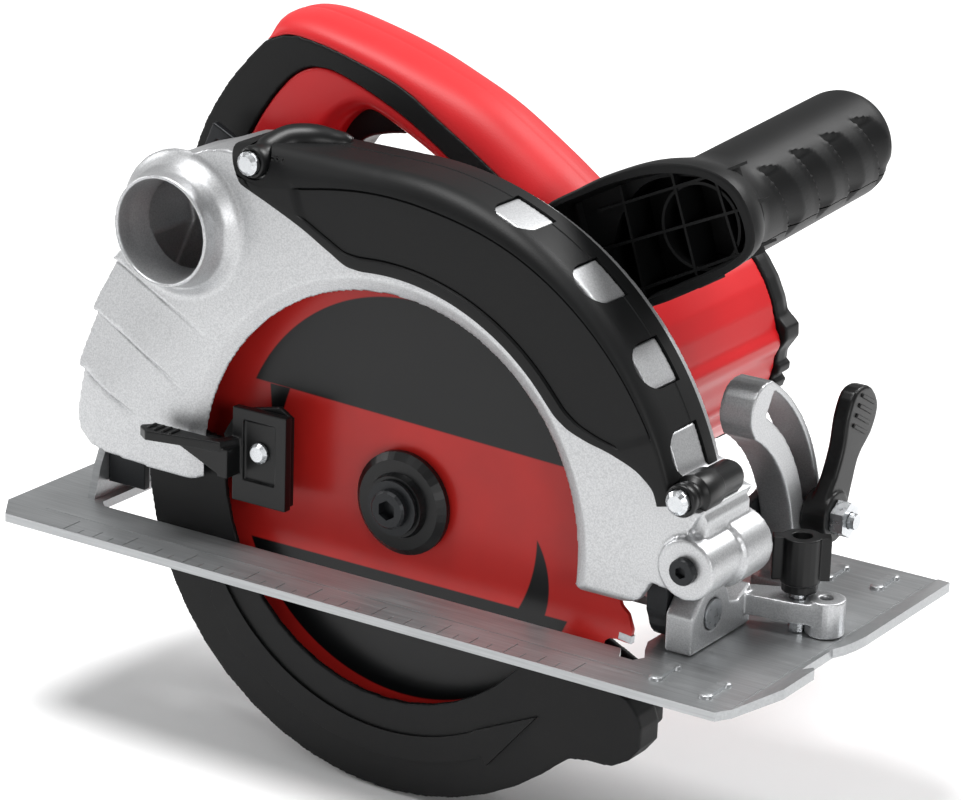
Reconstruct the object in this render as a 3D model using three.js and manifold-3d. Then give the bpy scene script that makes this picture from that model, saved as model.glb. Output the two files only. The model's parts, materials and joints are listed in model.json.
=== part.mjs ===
// Hand-held circular saw for a 185 mm blade, on a sole plate that tilts and sets the depth of cut.
// Millimetres. +X is the way the saw is pushed, +Z is up, and the blade turns about Y.
// Every piece is drawn in the blade frame: X = 0 under the arbor, Y = 0 at the middle of the blade,
// Z = 0 at the underside of the sole. The last lines move it so that the origin lies on the sole.
import * as THREE from 'three';
import { mergeVertices } from 'three/addons/utils/BufferGeometryUtils.js';
import Module from 'manifold-3d';

const wasm = await Module();
wasm.setup();

// ---------------------------------------------------------------- driving dimensions
const gap = 0.3;                    // clearance between pieces that touch
const sweep = 1.5;                  // clearance beside pieces that turn
const originBesideBlade = 66;       // the origin's distance from the blade, on solid plate

const blade = { radius: 92.5, bore: 8, body: 2, teeth: 24, gullet: 9 };
const arbor = { x: 0, z: 28.4 };    // arbor height above the sole at full depth
const flange = { radius: 17.8, hub: 10.5, inner: 3.9, outer: 5.2, hubLength: 2.4 };
const boltHead = { radius: 6.6, length: 4 };

const lowerGuard = { radius: 99.6, inner: 67.1, half: 11.5, wall: 2, from: -25, nose: -44, to: 172 };
const upperGuard = { half: 16.6, wall: 3, arch: 72.5, rim: 112, cavity: 104.5 };
const cover = { thick: 3, rim: 115.6, inner: 82, farSide: 10, from: 18.5, to: 112 };
const chute = { x: -82, z: 111.5, radius: 18.9, wall: 1.6, proud: 12.5, flare: 24 };

const plate = {
  rear: -147.5, bend: 143.6, front: 152.5, near: -39.6, far: 103, thick: 3,
  lipRise: 3.6, corner: 8, windowNear: -13.1, windowFar: 30, windowRear: -120.5, windowFront: 98,
};

const bevel = { y: 6.1, z: 14, pin: 5, range: 45 };   // tilt axis, along X
const block = { rear: 102.9, front: 112.9, near: -6.8, far: 31, ear: 11, low: 15.5 };
const quadrant = { rear: 98, front: 110, inner: 57, outer: 77, slotIn: 65.4, slotOut: 74.6, top: 62 };
const lockBolt = { radius: 70, angle: 11.5, shank: 2.7 };
const pivot = { x: 116, z: 37.2, near: -19, far: 16.6, nearR: 10, farR: 11.5, lug: 8.2, lugNear: -5.6 };
const depthBolt = { x: -112, z: 37, shank: 3, travel: 23 };

const ratio = { gear: 33, pinion: 7 };
const motor = { x: 9.5, z: 55.5, radius: 45, wall: 3, start: 45.3, edge: 148, end: 166 };
const gearWidth = 11;
const module_ = 2 * Math.hypot(motor.x - arbor.x, motor.z - arbor.z) / (ratio.gear + ratio.pinion);

const handle = { y: 48, half: 17, wall: 4, skin: 0.3 };
const frontGrip = {
  x: 79, z: 127.5, rise: 7.5, near: 20, waist: 52, far: 147, radius: 18.8, mouthX: 36, mouthZ: 24.5,
};

// ---------------------------------------------------------------- materials
function finish(color, roughness, metalness) {
  return new THREE.MeshStandardMaterial({ color, roughness, metalness });
}
const castAluminium = finish('#c9cacc', 0.45, 0.85);
const zincSteel = finish('#b4b6b8', 0.35, 0.9);
const blackPlastic = finish('#26282a', 0.6, 0);
const blackSteel = finish('#17181a', 0.45, 0.4);
const redPlastic = finish('#d22630', 0.4, 0);
const softRed = finish('#d02a30', 0.7, 0);
const bladePaint = finish('#a32a28', 0.4, 0.2);
const brightSteel = finish('#cfd2d6', 0.2, 1);
const gearSteel = finish('#8d8f92', 0.35, 0.9);
const copper = finish('#b8703c', 0.35, 0.9);
const carbon = finish('#2d2d2f', 0.8, 0.1);
const laminations = finish('#6e7176', 0.5, 0.7);

// ---------------------------------------------------------------- solids
const rad = THREE.MathUtils.degToRad;
const toX = new THREE.Matrix4().makeBasis(
  new THREE.Vector3(0, 1, 0), new THREE.Vector3(0, 0, 1), new THREE.Vector3(1, 0, 0));
const toY = new THREE.Matrix4().makeBasis(
  new THREE.Vector3(1, 0, 0), new THREE.Vector3(0, 0, 1), new THREE.Vector3(0, -1, 0));

function signedVolume(geometry) {
  const p = geometry.getAttribute('position');
  const index = geometry.getIndex();
  const a = new THREE.Vector3();
  const b = new THREE.Vector3();
  const c = new THREE.Vector3();
  let volume = 0;
  for (let i = 0; i < index.count; i += 3) {
    a.fromBufferAttribute(p, index.getX(i));
    b.fromBufferAttribute(p, index.getX(i + 1));
    c.fromBufferAttribute(p, index.getX(i + 2));
    volume += a.dot(b.cross(c));
  }
  return volume;
}

// A closed geometry as a solid that can be joined and cut.
function solid(geometry) {
  geometry.deleteAttribute('normal');
  geometry.deleteAttribute('uv');
  const merged = mergeVertices(geometry, 1e-4);
  const triVerts = Uint32Array.from(merged.getIndex().array);
  if (signedVolume(merged) < 0) triVerts.reverse();
  const vertProperties = Float32Array.from(merged.getAttribute('position').array);
  return new wasm.Manifold(new wasm.Mesh({ numProp: 3, vertProperties, triVerts }));
}

function box(x0, x1, y0, y1, z0, z1) {
  const g = new THREE.BoxGeometry(x1 - x0, y1 - y0, z1 - z0);
  return solid(g.translate((x0 + x1) / 2, (y0 + y1) / 2, (z0 + z1) / 2));
}

// Turned solids: a profile of [radius, height] pairs, closed on the axis or on itself.
function turned(profile, sides) {
  const points = profile.map(([r, h]) => new THREE.Vector2(r, h));
  return new THREE.LatheGeometry(points, sides);
}
function turnedY(x, z, profile, sides = 32) {
  return solid(turned(profile, sides).translate(x, 0, z));
}
function turnedX(y, z, profile, sides = 24) {
  return solid(turned(profile, sides).rotateZ(-Math.PI / 2).translate(0, y, z));
}
function turnedZ(x, y, profile, sides = 24) {
  return solid(turned(profile, sides).rotateX(Math.PI / 2).translate(x, y, 0));
}
const rodProfile = (r, h0, h1) => [[0, h0], [r, h0], [r, h1], [0, h1]];
const ringProfile = (r0, r1, h0, h1) => [[r0, h0], [r1, h0], [r1, h1], [r0, h1], [r0, h0]];
const rodX = (y, z, r, x0, x1, sides) => turnedX(y, z, rodProfile(r, x0, x1), sides);
const rodY = (x, z, r, y0, y1, sides) => turnedY(x, z, rodProfile(r, y0, y1), sides);
const rodZ = (x, y, r, z0, z1, sides) => turnedZ(x, y, rodProfile(r, z0, z1), sides);
const ringY = (x, z, r0, r1, y0, y1, sides) => turnedY(x, z, ringProfile(r0, r1, y0, y1), sides);

// Slabs: an outline drawn in the plane across an axis and given a thickness along it.
function slab(shape, depth, round, steps, segments) {
  return new THREE.ExtrudeGeometry(shape, {
    depth: depth - 2 * round, steps: 1, curveSegments: segments, bevelEnabled: round > 0,
    bevelThickness: round, bevelSize: round, bevelOffset: -round, bevelSegments: steps,
  }).translate(0, 0, round);
}
function slabY(shape, y0, y1, { round = 0, steps = 2, segments = 8 } = {}) {
  return solid(slab(shape, y1 - y0, round, steps, segments).applyMatrix4(toY).translate(0, y1, 0));
}
function slabX(shape, x0, x1, { round = 0, steps = 2, segments = 8 } = {}) {
  return solid(slab(shape, x1 - x0, round, steps, segments).applyMatrix4(toX).translate(x0, 0, 0));
}
function slabZ(shape, z0, z1, { round = 0, steps = 2, segments = 8 } = {}) {
  return solid(slab(shape, z1 - z0, round, steps, segments).translate(0, 0, z0));
}
const outline = (points) => new THREE.Shape(points.map(([u, v]) => new THREE.Vector2(u, v)));
const smooth = (points, count) => outline(
  new THREE.CatmullRomCurve3(points.map(([u, v]) => new THREE.Vector3(u, v, 0)), true, 'centripetal')
    .getPoints(count).slice(0, -1).map((p) => [p.x, p.y]));
const polar = (cx, cz, r, degrees) => [cx + r * Math.cos(rad(degrees)), cz + r * Math.sin(rad(degrees))];

// Points along an arc from one angle to another, in degrees.
function arc(cx, cz, r, from, to, count) {
  return Array.from({ length: count + 1 }, (_, i) => polar(cx, cz, r, from + (to - from) * i / count));
}
// The outline of a piece of a ring, between two radii and two angles.
function sector(cx, cz, r0, r1, from, to, count) {
  return outline([...arc(cx, cz, r1, from, to, count), ...arc(cx, cz, r0, to, from, count)]);
}

const union = (...pieces) => pieces.reduce((a, b) => a.add(b));
const cut = (piece, ...tools) => tools.reduce((a, b) => a.subtract(b), piece);

const group = new THREE.Group();
const saw = new THREE.Group();
saw.position.y = -originBesideBlade;
group.add(saw);

function add(name, piece, material) {
  const { numProp, vertProperties, triVerts } = piece.getMesh();
  const positions = new Float32Array(vertProperties.length / numProp * 3);
  for (let i = 0; i < positions.length / 3; i += 1) {
    positions.set(vertProperties.subarray(i * numProp, i * numProp + 3), i * 3);
  }
  const geometry = new THREE.BufferGeometry();
  geometry.setAttribute('position', new THREE.BufferAttribute(positions, 3));
  geometry.setIndex(new THREE.BufferAttribute(triVerts, 1));
  const mesh = new THREE.Mesh(geometry, material);
  mesh.name = name;
  saw.add(mesh);
}

// ---------------------------------------------------------------- sole plate and what is fixed to it
const nearFrontCorner = 17.6;
const lipNotch = { from: 4.5, to: 27, depth: 6 };

function planOutline() {
  const { rear, front, near, far, corner } = plate;
  return outline([
    [rear + corner, near], [front - corner - 4, near], [front - 2, near + nearFrontCorner],
    [front, near + nearFrontCorner + 4], [front, lipNotch.from - 3], [front - 2, lipNotch.from],
    [front - lipNotch.depth, lipNotch.from], [front - lipNotch.depth, lipNotch.to - 2],
    [front - lipNotch.depth + 3, lipNotch.to], [front - 1, lipNotch.to + 4], [front, lipNotch.to + 9],
    [front, far - corner], [front - corner, far], [rear + corner, far], [rear, far - corner],
    [rear, near + corner * 1.4],
  ]);
}

// The window lets the blade and both guards through, and the gear case dips into its notch.
const gearCaseRadius = module_ * (ratio.gear / 2 + 1) + 2.6;
function windowOutline() {
  const { windowNear: n, windowFar: f, windowRear: r, windowFront: e } = plate;
  const notch = gearCaseRadius + 3;
  return outline([
    [r + 3, n], [91, n], [94, n - 6], [99, n - 6], [101, n - 2], [e, n + 3], [e - 3, -3.2], [e - 3, f - 4],
    [e - 7, f], [notch, f], [notch, motor.start + 2], [-notch, motor.start + 2], [-notch, f],
    [-104, f], [-108, f - 4], [-108, 24], [r, 22], [r, n + 3],
  ]);
}

const rearLug = { x: -124, thick: 3, near: -11, far: 19.5, top: 25, waist: 10 };
function basePlate() {
  const { rear, bend, front, near, far, thick, lipRise } = plate;
  const flat = box(rear - 1, bend, near - 1, far + 1, 0, thick);
  const lip = slabY(outline([
    [bend - 0.01, 0], [front + 1, lipRise], [front, lipRise + thick], [bend - 0.01, thick],
  ]), near - 1, far + 1);
  const plan = slabZ(planOutline(), -1, thick + lipRise + 1);
  const lug = slabX(outline([
    [rearLug.near, 0.5], [rearLug.near + 4, 14], [bevel.y - rearLug.waist, rearLug.top - 5],
    [bevel.y - 6, rearLug.top], [bevel.y + 6, rearLug.top], [bevel.y + rearLug.waist, rearLug.top - 5],
    [rearLug.far, 0.5],
  ]), rearLug.x - rearLug.thick, rearLug.x);
  const plateSolid = cut(union(flat, lip).intersect(plan), slabZ(windowOutline(), -1, thick + 1));
  return cut(union(plateSolid, lug), rodX(bevel.y, bevel.z, 4 + gap, -140, -110, 16));
}

const fenceScrew = { x: 128, y: 35, stud: 3 };
const armBoss = { x: 136.6, y: 37.5, radius: 6.5, hole: 2.2 };
function frontBracket() {
  const { rear, front, near, far, ear, low } = block;
  const foot = plate.thick + gap;
  const wall = slabX(outline([
    [near, foot], [far, foot], [far, low + 1.5], [bevel.y + ear + 6, low - 2],
    ...arc(bevel.y, bevel.z, ear, 5, 140, 9), [near, bevel.z + 2],
  ]), rear, front, { round: 0.6, steps: 1 });
  const arm = slabZ(outline([
    [front - 2, far - 5], [fenceScrew.x, armBoss.y - 9], [armBoss.x, armBoss.y - armBoss.radius],
    [armBoss.x, armBoss.y + armBoss.radius], [fenceScrew.x, armBoss.y + 6.5], [front - 2, far + 5],
    [rear + 3, far + 2], [rear + 3, far - 5],
  ]), 7.4, low - 1);
  const boss = rodZ(armBoss.x, armBoss.y, armBoss.radius, foot, low, 20);
  return cut(
    union(wall, arm, boss),
    rodX(bevel.y, bevel.z, bevel.pin + gap, rear - 5, front + 5, 20),
    rodZ(fenceScrew.x, fenceScrew.y, fenceScrew.stud + gap, 0, 30, 16),
    rodZ(armBoss.x, armBoss.y, armBoss.hole, low - 6, low + 5, 12),
  );
}

function bevelQuadrant() {
  const { rear, front, inner, outer, slotIn, slotOut, top } = quadrant;
  const end = lockBolt.angle + bevel.range;
  const reach = (lockBolt.shank + gap + 0.4) / lockBolt.radius * 180 / Math.PI;
  const ring = slabX(sector(bevel.y, bevel.z, inner, outer, -12, top, 14), rear, front);
  const tip = rodX(...polar(bevel.y, bevel.z, (inner + outer) / 2, top - 2), (outer - inner) / 2 - 0.2, rear, front, 20);
  const foot = box(rear, front, bevel.y + inner - 6, bevel.y + outer + 3, plate.thick + gap, plate.thick + 5);
  const slot = slabX(
    sector(bevel.y, bevel.z, slotIn, slotOut, lockBolt.angle - reach, end + reach, 12), rear - 1, front + 1);
  const below = box(rear - 1, front + 1, 0, 120, -40, plate.thick + gap);
  return cut(union(cut(union(ring, tip), below), foot), slot);
}

const knob = { bottom: 17, top: 35.5, radius: 6.6, wing: 9.4, wingWidth: 5 };
function fenceKnob() {
  const neck = rodZ(fenceScrew.x, fenceScrew.y, knob.radius - 0.6, knob.bottom, knob.bottom + 6, 16);
  const barrel = rodZ(fenceScrew.x, fenceScrew.y, knob.radius, knob.bottom + 3, knob.top, 20);
  const wing = box(-knob.wing, knob.wing, -knob.wingWidth / 2, knob.wingWidth / 2, knob.bottom + 4, knob.top)
    .rotate([0, 0, 32]).translate([fenceScrew.x, fenceScrew.y, 0]);
  return cut(union(neck, barrel, wing), rodZ(fenceScrew.x, fenceScrew.y, fenceScrew.stud + gap, 0, knob.top + 1, 16));
}

// ---------------------------------------------------------------- tilting frame
const linkArm = { rear: 94.2, front: 97.6, high: 10 };
const linkEar = { rear: 95, front: block.rear - gap, near: -5.6, far: 13.2, foot: bevel.z - plate.thick - 2 * gap };
const lockPoint = polar(bevel.y, bevel.z, lockBolt.radius, lockBolt.angle);
function frontLink() {
  const ear = slabX(outline([
    ...arc(bevel.y, bevel.z, linkEar.foot, 190, 320, 9), [linkEar.far, bevel.z - 4], [linkEar.far, bevel.z + 16],
    [linkEar.near, bevel.z + 16], [linkEar.near, bevel.z + 1],
  ]), linkEar.rear, linkEar.front);
  const riser = slabY(outline([
    [linkEar.rear, bevel.z + 12], [linkEar.front, bevel.z + 12], [pivot.x - 7, pivot.z - 6],
    [pivot.x, pivot.z + pivot.lug - 1], [pivot.x - 9, pivot.z + 3], [linkEar.rear, bevel.z + 17],
  ]), pivot.lugNear, pivot.lugNear + 17);
  const lug = rodY(pivot.x, pivot.z, pivot.lug, pivot.lugNear, pivot.lugNear + 17, 24);
  const arm = slabX(outline([
    [linkEar.far - 4, bevel.z - 7], [lockPoint[0] - 4, lockPoint[1] - 9], [lockPoint[0] + 6, lockPoint[1] - 6],
    [lockPoint[0] + 7, lockPoint[1] + 5], [lockPoint[0] - 1, lockPoint[1] + 9], [linkEar.far - 4, bevel.z + linkArm.high],
  ]), linkArm.rear, linkArm.front);
  return cut(
    union(ear, riser, lug, arm),
    rodX(bevel.y, bevel.z, bevel.pin + gap, 80, 110, 20),
    rodY(pivot.x, pivot.z, 3 + gap, -30, 30, 16),
    rodX(...lockPoint, lockBolt.shank + gap, 80, 110, 16),
  );
}

function bevelBolt() {
  const head = rodX(...lockPoint, 5.4, linkArm.rear - gap - 4, linkArm.rear - gap, 6);
  return union(head, rodX(...lockPoint, lockBolt.shank, linkArm.rear - 2, 127, 16));
}

const rearLink = { rear: -123.7, front: -108, near: -2.8, bottom: 8, top: 22, guideNear: 19.7, guideFar: 22.7 };
function rearLinkPiece() {
  const reach = Math.hypot(depthBolt.x - pivot.x, depthBolt.z - pivot.z);
  const rest = THREE.MathUtils.radToDeg(Math.atan2(depthBolt.z - pivot.z, depthBolt.x - pivot.x)) + 360;
  const start = rest % 360;
  const end = start - depthBolt.travel;
  const half = 7;
  const bracket = box(rearLink.rear, rearLink.front, rearLink.near, rearLink.guideFar, rearLink.bottom, rearLink.top);
  const guide = slabY(sector(pivot.x, pivot.z, reach - half, reach + half, start + 5, end - 2, 10),
    rearLink.guideNear, rearLink.guideFar);
  const slot = slabY(sector(
    pivot.x, pivot.z, reach - depthBolt.shank - gap, reach + depthBolt.shank + gap, start + 0.9, end - 0.9, 10),
    rearLink.guideNear - 1, rearLink.guideFar + 1);
  const foot = box(rearLink.rear, rearLink.front, rearLink.guideNear, rearLink.guideFar, rearLink.bottom, rearLink.top + 4);
  const hollow = box(rearLink.rear + 3, rearLink.front + 1, rearLink.near + 3, rearLink.guideNear - 1, 6, rearLink.top - 3);
  return cut(union(cut(bracket, hollow), foot, guide), slot, rodX(bevel.y, bevel.z, 4 + gap, -140, -100, 16));
}

function bevelPinRear() {
  const head = rodX(bevel.y, bevel.z, 6.6, rearLug.x - rearLug.thick - gap - 3.5, rearLug.x - rearLug.thick - gap, 16);
  return union(head, rodX(bevel.y, bevel.z, 4, rearLug.x - rearLug.thick - 2, rearLink.rear + 5, 16));
}

const lever = { rear: quadrant.front + gap, front: 119.5, hub: 8.6, reach: 45, tilt: 62 };
function bevelLever() {
  const [y, z] = lockPoint;
  const hub = rodX(y, z, lever.hub, lever.rear, lever.front, 24);
  const along = (u, v) => [
    y + u * Math.cos(rad(lever.tilt)) - v * Math.sin(rad(lever.tilt)),
    z + u * Math.sin(rad(lever.tilt)) + v * Math.cos(rad(lever.tilt)),
  ];
  const arm = slabX(smooth([
    along(0, 7.5), along(12, 6.5), along(22, 7), along(32, 10), along(41, 9), along(lever.reach, 0),
    along(41, -9), along(32, -10), along(22, -6), along(12, -7), along(0, -7.5),
  ], 34), lever.rear + 2, lever.front - 1, { round: 0.8, steps: 1 });
  return cut(union(hub, arm), rodX(y, z, lockBolt.shank + gap, lever.rear - 1, lever.front + 1, 16));
}
function bevelNut() {
  return cut(
    rodX(...lockPoint, 6.2, lever.front + gap, lever.front + 5, 6),
    rodX(...lockPoint, lockBolt.shank + gap, lever.front - 1, lever.front + 9, 16),
  );
}

// ---------------------------------------------------------------- upper guard, gear case and cover
const centre = [arbor.x, arbor.z];

// The outside of the casting, seen along Y: the rim about the arbor, the rear skirt and the dust duct.
function castingOutline() {
  return outline([
    ...arc(...centre, upperGuard.rim, 16, 96, 16),
    [-35, 142], [-50, 142.5], [-64, 143], [-74, 138.5], [-86, 134.5],
    ...arc(chute.x, chute.z, chute.flare, 110, 200, 6),
    [-111.5, 88], [-116.5, 76], [-120, 66], [-123, 54], [-126, 42], [-127, 34], [-124, 28], [-116, 23.6],
    [-92, 22.6], [-75, 23.5], [-70.5, 27], [-71, 31],
    [-20, 12], [40, 12], [72, 24], [80, 19.6], [95, 19.6], [98.8, 23],
    [105, 33], [116, 50], [119, 56],
  ]);
}
// The front and rear of the near wall are joined only above the arch.
function archOutline() {
  return outline([
    ...arc(...centre, upperGuard.arch, -4, 168, 18), [-80, 37], [-70, 31], [-74, 5], [60, 5],
    [76, 18],
  ]);
}

function cavityOutline() {
  const { wall, cavity } = upperGuard;
  return outline([
    ...arc(...centre, cavity, -6, 105, 18), [-38, 137], [-62, 139], [-84, 131],
    ...arc(chute.x, chute.z, chute.flare - wall, 110, 205, 6),
    [-112, 76], [-120.5, 54], [-123.8, 36], [-121, 28], [-116, 20], [-110, 0], [60, 0], [96, 14],
  ]);
}

// The solid front of the casting that carries the pivot barrel; grow makes room round it.
function pivotBlock(grow) {
  return slabY(outline([
    [99, 34], [116, 31], [122 + grow, 44], [121 + grow, 56], [117 + grow, 68], [104, 72 + grow],
    [99 - grow, 72 + grow],
  ]), -upperGuard.half + 1.5 - grow, upperGuard.half - 1.5 + grow);
}

function upperGuardPiece() {
  const { half, wall } = upperGuard;
  const shell = slabY(castingOutline(), -half, half, { round: 2.4, steps: 1 });
  const inside = slabY(cavityOutline(), -half + wall, half - wall);
  const arch = slabY(archOutline(), -half - 1, -half + wall + 0.5);
  const mouth = -half - chute.proud;
  const duct = turnedY(chute.x, chute.z, [
    [0, -half + 1], [chute.flare - 1, -half + 1], [chute.radius + 1.6, -half - 3],
    [chute.radius, -half - 6], [chute.radius, mouth], [0, mouth],
  ], 28);
  const bore = rodY(chute.x, chute.z, chute.radius - chute.wall, mouth - 1, 0, 28);
  const frontBarrel = union(
    rodY(pivot.x, pivot.z, pivot.nearR, pivot.near, 0, 28),
    rodY(pivot.x, pivot.z, pivot.farR, 0, pivot.far, 28),
    pivotBlock(0),
  );
  const lugSpace = union(
    rodY(pivot.x, pivot.z, pivot.lug + sweep / 2, pivot.lugNear - gap, pivot.lugNear + 17 + gap, 24),
    slabY(outline([[88, 5], [88, 36], [106, 46], [110, 40], [pivot.x, pivot.z], [pivot.x + 3, 20], [118, 5]]),
      pivot.lugNear - gap, pivot.lugNear + 17 + gap),
  );
  // Gear case: a lobe about the arbor and one about the armature, open towards the motor.
  const caseFar = motor.start - gap;
  const gearCase = union(
    rodY(...centre, gearCaseRadius, half - wall, caseFar, 32),
    rodY(motor.x, motor.z, motor.radius, half - 0.5, caseFar, 40),
  );
  const gearSpace = union(
    rodY(...centre, gearCaseRadius - 1.8, half, caseFar + 1, 32),
    rodY(motor.x, motor.z, motor.radius - motor.wall, half + 4, caseFar + 1, 40),
    rodY(motor.x, motor.z, module_ * (ratio.pinion / 2 + 1) + 2, half, caseFar, 24),
  );
  const armSpace = box(linkArm.rear - 5, linkArm.front + 6, half - wall - 1, half + 1, 0, bevel.z + linkArm.high + sweep);
  const body = cut(union(shell, duct, frontBarrel), inside, arch, bore, lugSpace, armSpace);
  return cut(
    union(body, gearCase),
    gearSpace,
    rodY(...centre, bearingBox.outer + gap, 5, half + 3, 32),
    rodY(pivot.x, pivot.z, 3 + gap, -30, 30, 16),
    rodY(depthBolt.x, depthBolt.z, depthBolt.shank + gap, 5, 40, 16),
    ...coverScrews.map((s) => rodY(s.x, s.z, 1.9, -40, -half + 6.5, 12)),
    buttonSpace(),
  );
}

// A shell of black plastic over the rim and the top of the near wall, with four openings in the rim.
const coverScrews = [
  { name: 'front', x: 114.3, z: 60.2, face: -24.5 },
  { name: 'rear', x: -51.5, z: 138.5, face: -23.5 },
];
const ventAngles = [68, 51.5, 36, 21.5];
function coverOutline(shrink) {
  const { rim, inner, from, to } = cover;
  return outline([
    ...arc(...centre, rim - shrink, from - 2, to - 20, 16), [-22, 144.4 - shrink], [-47, 144 - shrink],
    [-56, 137 + shrink], [-41, 124 + shrink], [-26.5, 117 + shrink],
    ...arc(...centre, inner + shrink, 99, 33, 10), [87, 68.5 + shrink], [99, 64.6 + shrink],
  ]);
}
function guardCover() {
  const { thick, farSide } = cover;
  const near = -upperGuard.half - thick;
  const skin = slabY(coverOutline(0), near, farSide, { round: 3.4, steps: 3 });
  const casting = slabY(castingOutline(), -upperGuard.half - gap, upperGuard.half, { round: 2.2, steps: 2 });
  const grown = slabY(
    outline([...arc(...centre, upperGuard.rim + gap, 5, 100, 20), [-40, 143.2], [-66, 143.2], [-60, 60], [100, 20]]),
    -upperGuard.half - gap, upperGuard.half);
  const vents = ventAngles.map((a) => slabY(
    sector(...centre, 106, 120, a - 4.1, a + 4.1, 4), -upperGuard.half + 4, 4));
  return cut(skin, grown, casting, pivotBlock(gap), ...vents,
    ...coverScrews.map((s) => rodY(s.x, s.z, 6.6, -60, 40, 20)));
}

function coverBoss(s) {
  const near = s.face + 3;
  return cut(rodY(s.x, s.z, 6.2, near, -upperGuard.half - gap, 16), rodY(s.x, s.z, 1.9 + gap, near - 1, 0, 12));
}
function coverScrew(s) {
  return turnedY(s.x, s.z, [
    [0, s.face], [2.6, s.face], [4, s.face + 1.2], [4, s.face + 3 - gap], [1.6, s.face + 3 - gap],
    [1.6, -upperGuard.half + 6], [0, -upperGuard.half + 6],
  ], 16);
}

// ---------------------------------------------------------------- spindle, blade and lower guard
const bearing = { inner: 8, outer: 17.2, near: 9, width: 11 };
const bearingBox = { inner: 17.5, outer: 20, near: 6.6, far: 22, flange: 28 };
function bearingBoxPiece() {
  const { inner, outer, near, far, flange: rim } = bearingBox;
  const face = upperGuard.half - upperGuard.wall - gap;
  return turnedY(...centre, [
    [12, near], [outer, near], [outer, face - 1.6], [rim, face - 1.6], [rim, face], [outer, face],
    [outer, far], [inner, far], [inner, near + 2], [12, near + 2], [12, near],
  ], 24);
}

// A bearing's races with a shallow groove between them on the side that faces the blade.
function ballBearing(x, z, r0, r1, y0, y1) {
  const lip = (r1 - r0) * 0.24;
  return turnedY(x, z, [
    [r0, y0], [r0 + lip, y0], [r0 + lip, y0 + 0.8], [r1 - lip, y0 + 0.8], [r1 - lip, y0], [r1, y0],
    [r1, y1], [r0, y1], [r0, y0],
  ], 18);
}

function sawBlade() {
  const { radius, bore, body, teeth, gullet } = blade;
  const pitch = 360 / teeth;
  const tooth = (i) => {
    const a = -18.4 + i * pitch;
    return [
      polar(...centre, radius, a), polar(...centre, radius - 1.2, a + 5),
      polar(...centre, radius - gullet, a + 11), polar(...centre, radius - gullet - 1, a + 13),
      polar(...centre, radius - gullet + 2, a + 14.4),
    ];
  };
  const edge = outline(Array.from({ length: teeth }, (_, i) => tooth(i)).flat());
  const disc = slabY(edge, -body / 2, body / 2);
  return cut(disc, rodY(...centre, bore, -5, 5, 24));
}

const face = blade.body / 2 + gap;
function outerFlange() {
  const { radius, hub, outer, hubLength } = flange;
  return turnedY(...centre, [
    [blade.bore, -face], [radius - 1, -face], [radius, -face - 1], [radius, -face - outer + 2.2],
    [radius - 2.4, -face - outer], [hub + 0.8, -face - outer], [hub, -face - outer - hubLength],
    [blade.bore, -face - outer - hubLength], [blade.bore, -face],
  ], 40);
}
function innerFlange() {
  return ringY(...centre, blade.bore, flange.radius, face, face + flange.inner, 32);
}
function arborBolt() {
  const seat = -face - flange.outer - flange.hubLength - gap;
  const socket = rodY(...centre, 3.5, seat - boltHead.length - 1, seat - 0.6, 6);
  return cut(turnedY(...centre, [
    [0, seat - boltHead.length], [boltHead.radius - 0.8, seat - boltHead.length],
    [boltHead.radius, seat - boltHead.length + 0.8], [boltHead.radius, seat - 1.2], [9.4, seat - 1.2],
    [9.4, seat], [3.6, seat], [3.6, 8], [0, 8],
  ], 24), socket);
}
const gearPlace = { near: 26 };
function spindlePiece() {
  const nose = -face - flange.outer + 1;
  return cut(turnedY(...centre, [
    [0, nose], [blade.bore - gap, nose], [blade.bore - gap, 6 + gap], [9.5, 6 + gap], [9.5, bearing.near - gap],
    [bearing.inner - gap, bearing.near - gap], [bearing.inner - gap, gearPlace.near + gearWidth + 1],
    [5, gearPlace.near + gearWidth + 1], [5, 44.4], [0, 44.4],
  ], 24), rodY(...centre, 3.6 + gap, nose - 1, 9, 16));
}

function toothedWheel(teeth, x, z, bore, y0, y1, phase) {
  const pitchRadius = module_ * teeth / 2;
  const step = 360 / teeth;
  const points = Array.from({ length: teeth }, (_, i) => {
    const a = phase + i * step;
    return [
      polar(x, z, pitchRadius - module_ * 1.15, a - step * 0.3), polar(x, z, pitchRadius, a - step * 0.2),
      polar(x, z, pitchRadius + module_ * 0.8, a - step * 0.09), polar(x, z, pitchRadius + module_ * 0.8, a + step * 0.09),
      polar(x, z, pitchRadius, a + step * 0.2), polar(x, z, pitchRadius - module_ * 1.15, a + step * 0.3),
    ];
  }).flat();
  const wheel = slabY(outline(points), y0, y1);
  return bore > 0 ? cut(wheel, rodY(x, z, bore, y0 - 1, y1 + 1, 24)) : wheel;
}
const meshAngle = THREE.MathUtils.radToDeg(Math.atan2(motor.z - arbor.z, motor.x - arbor.x));

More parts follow.
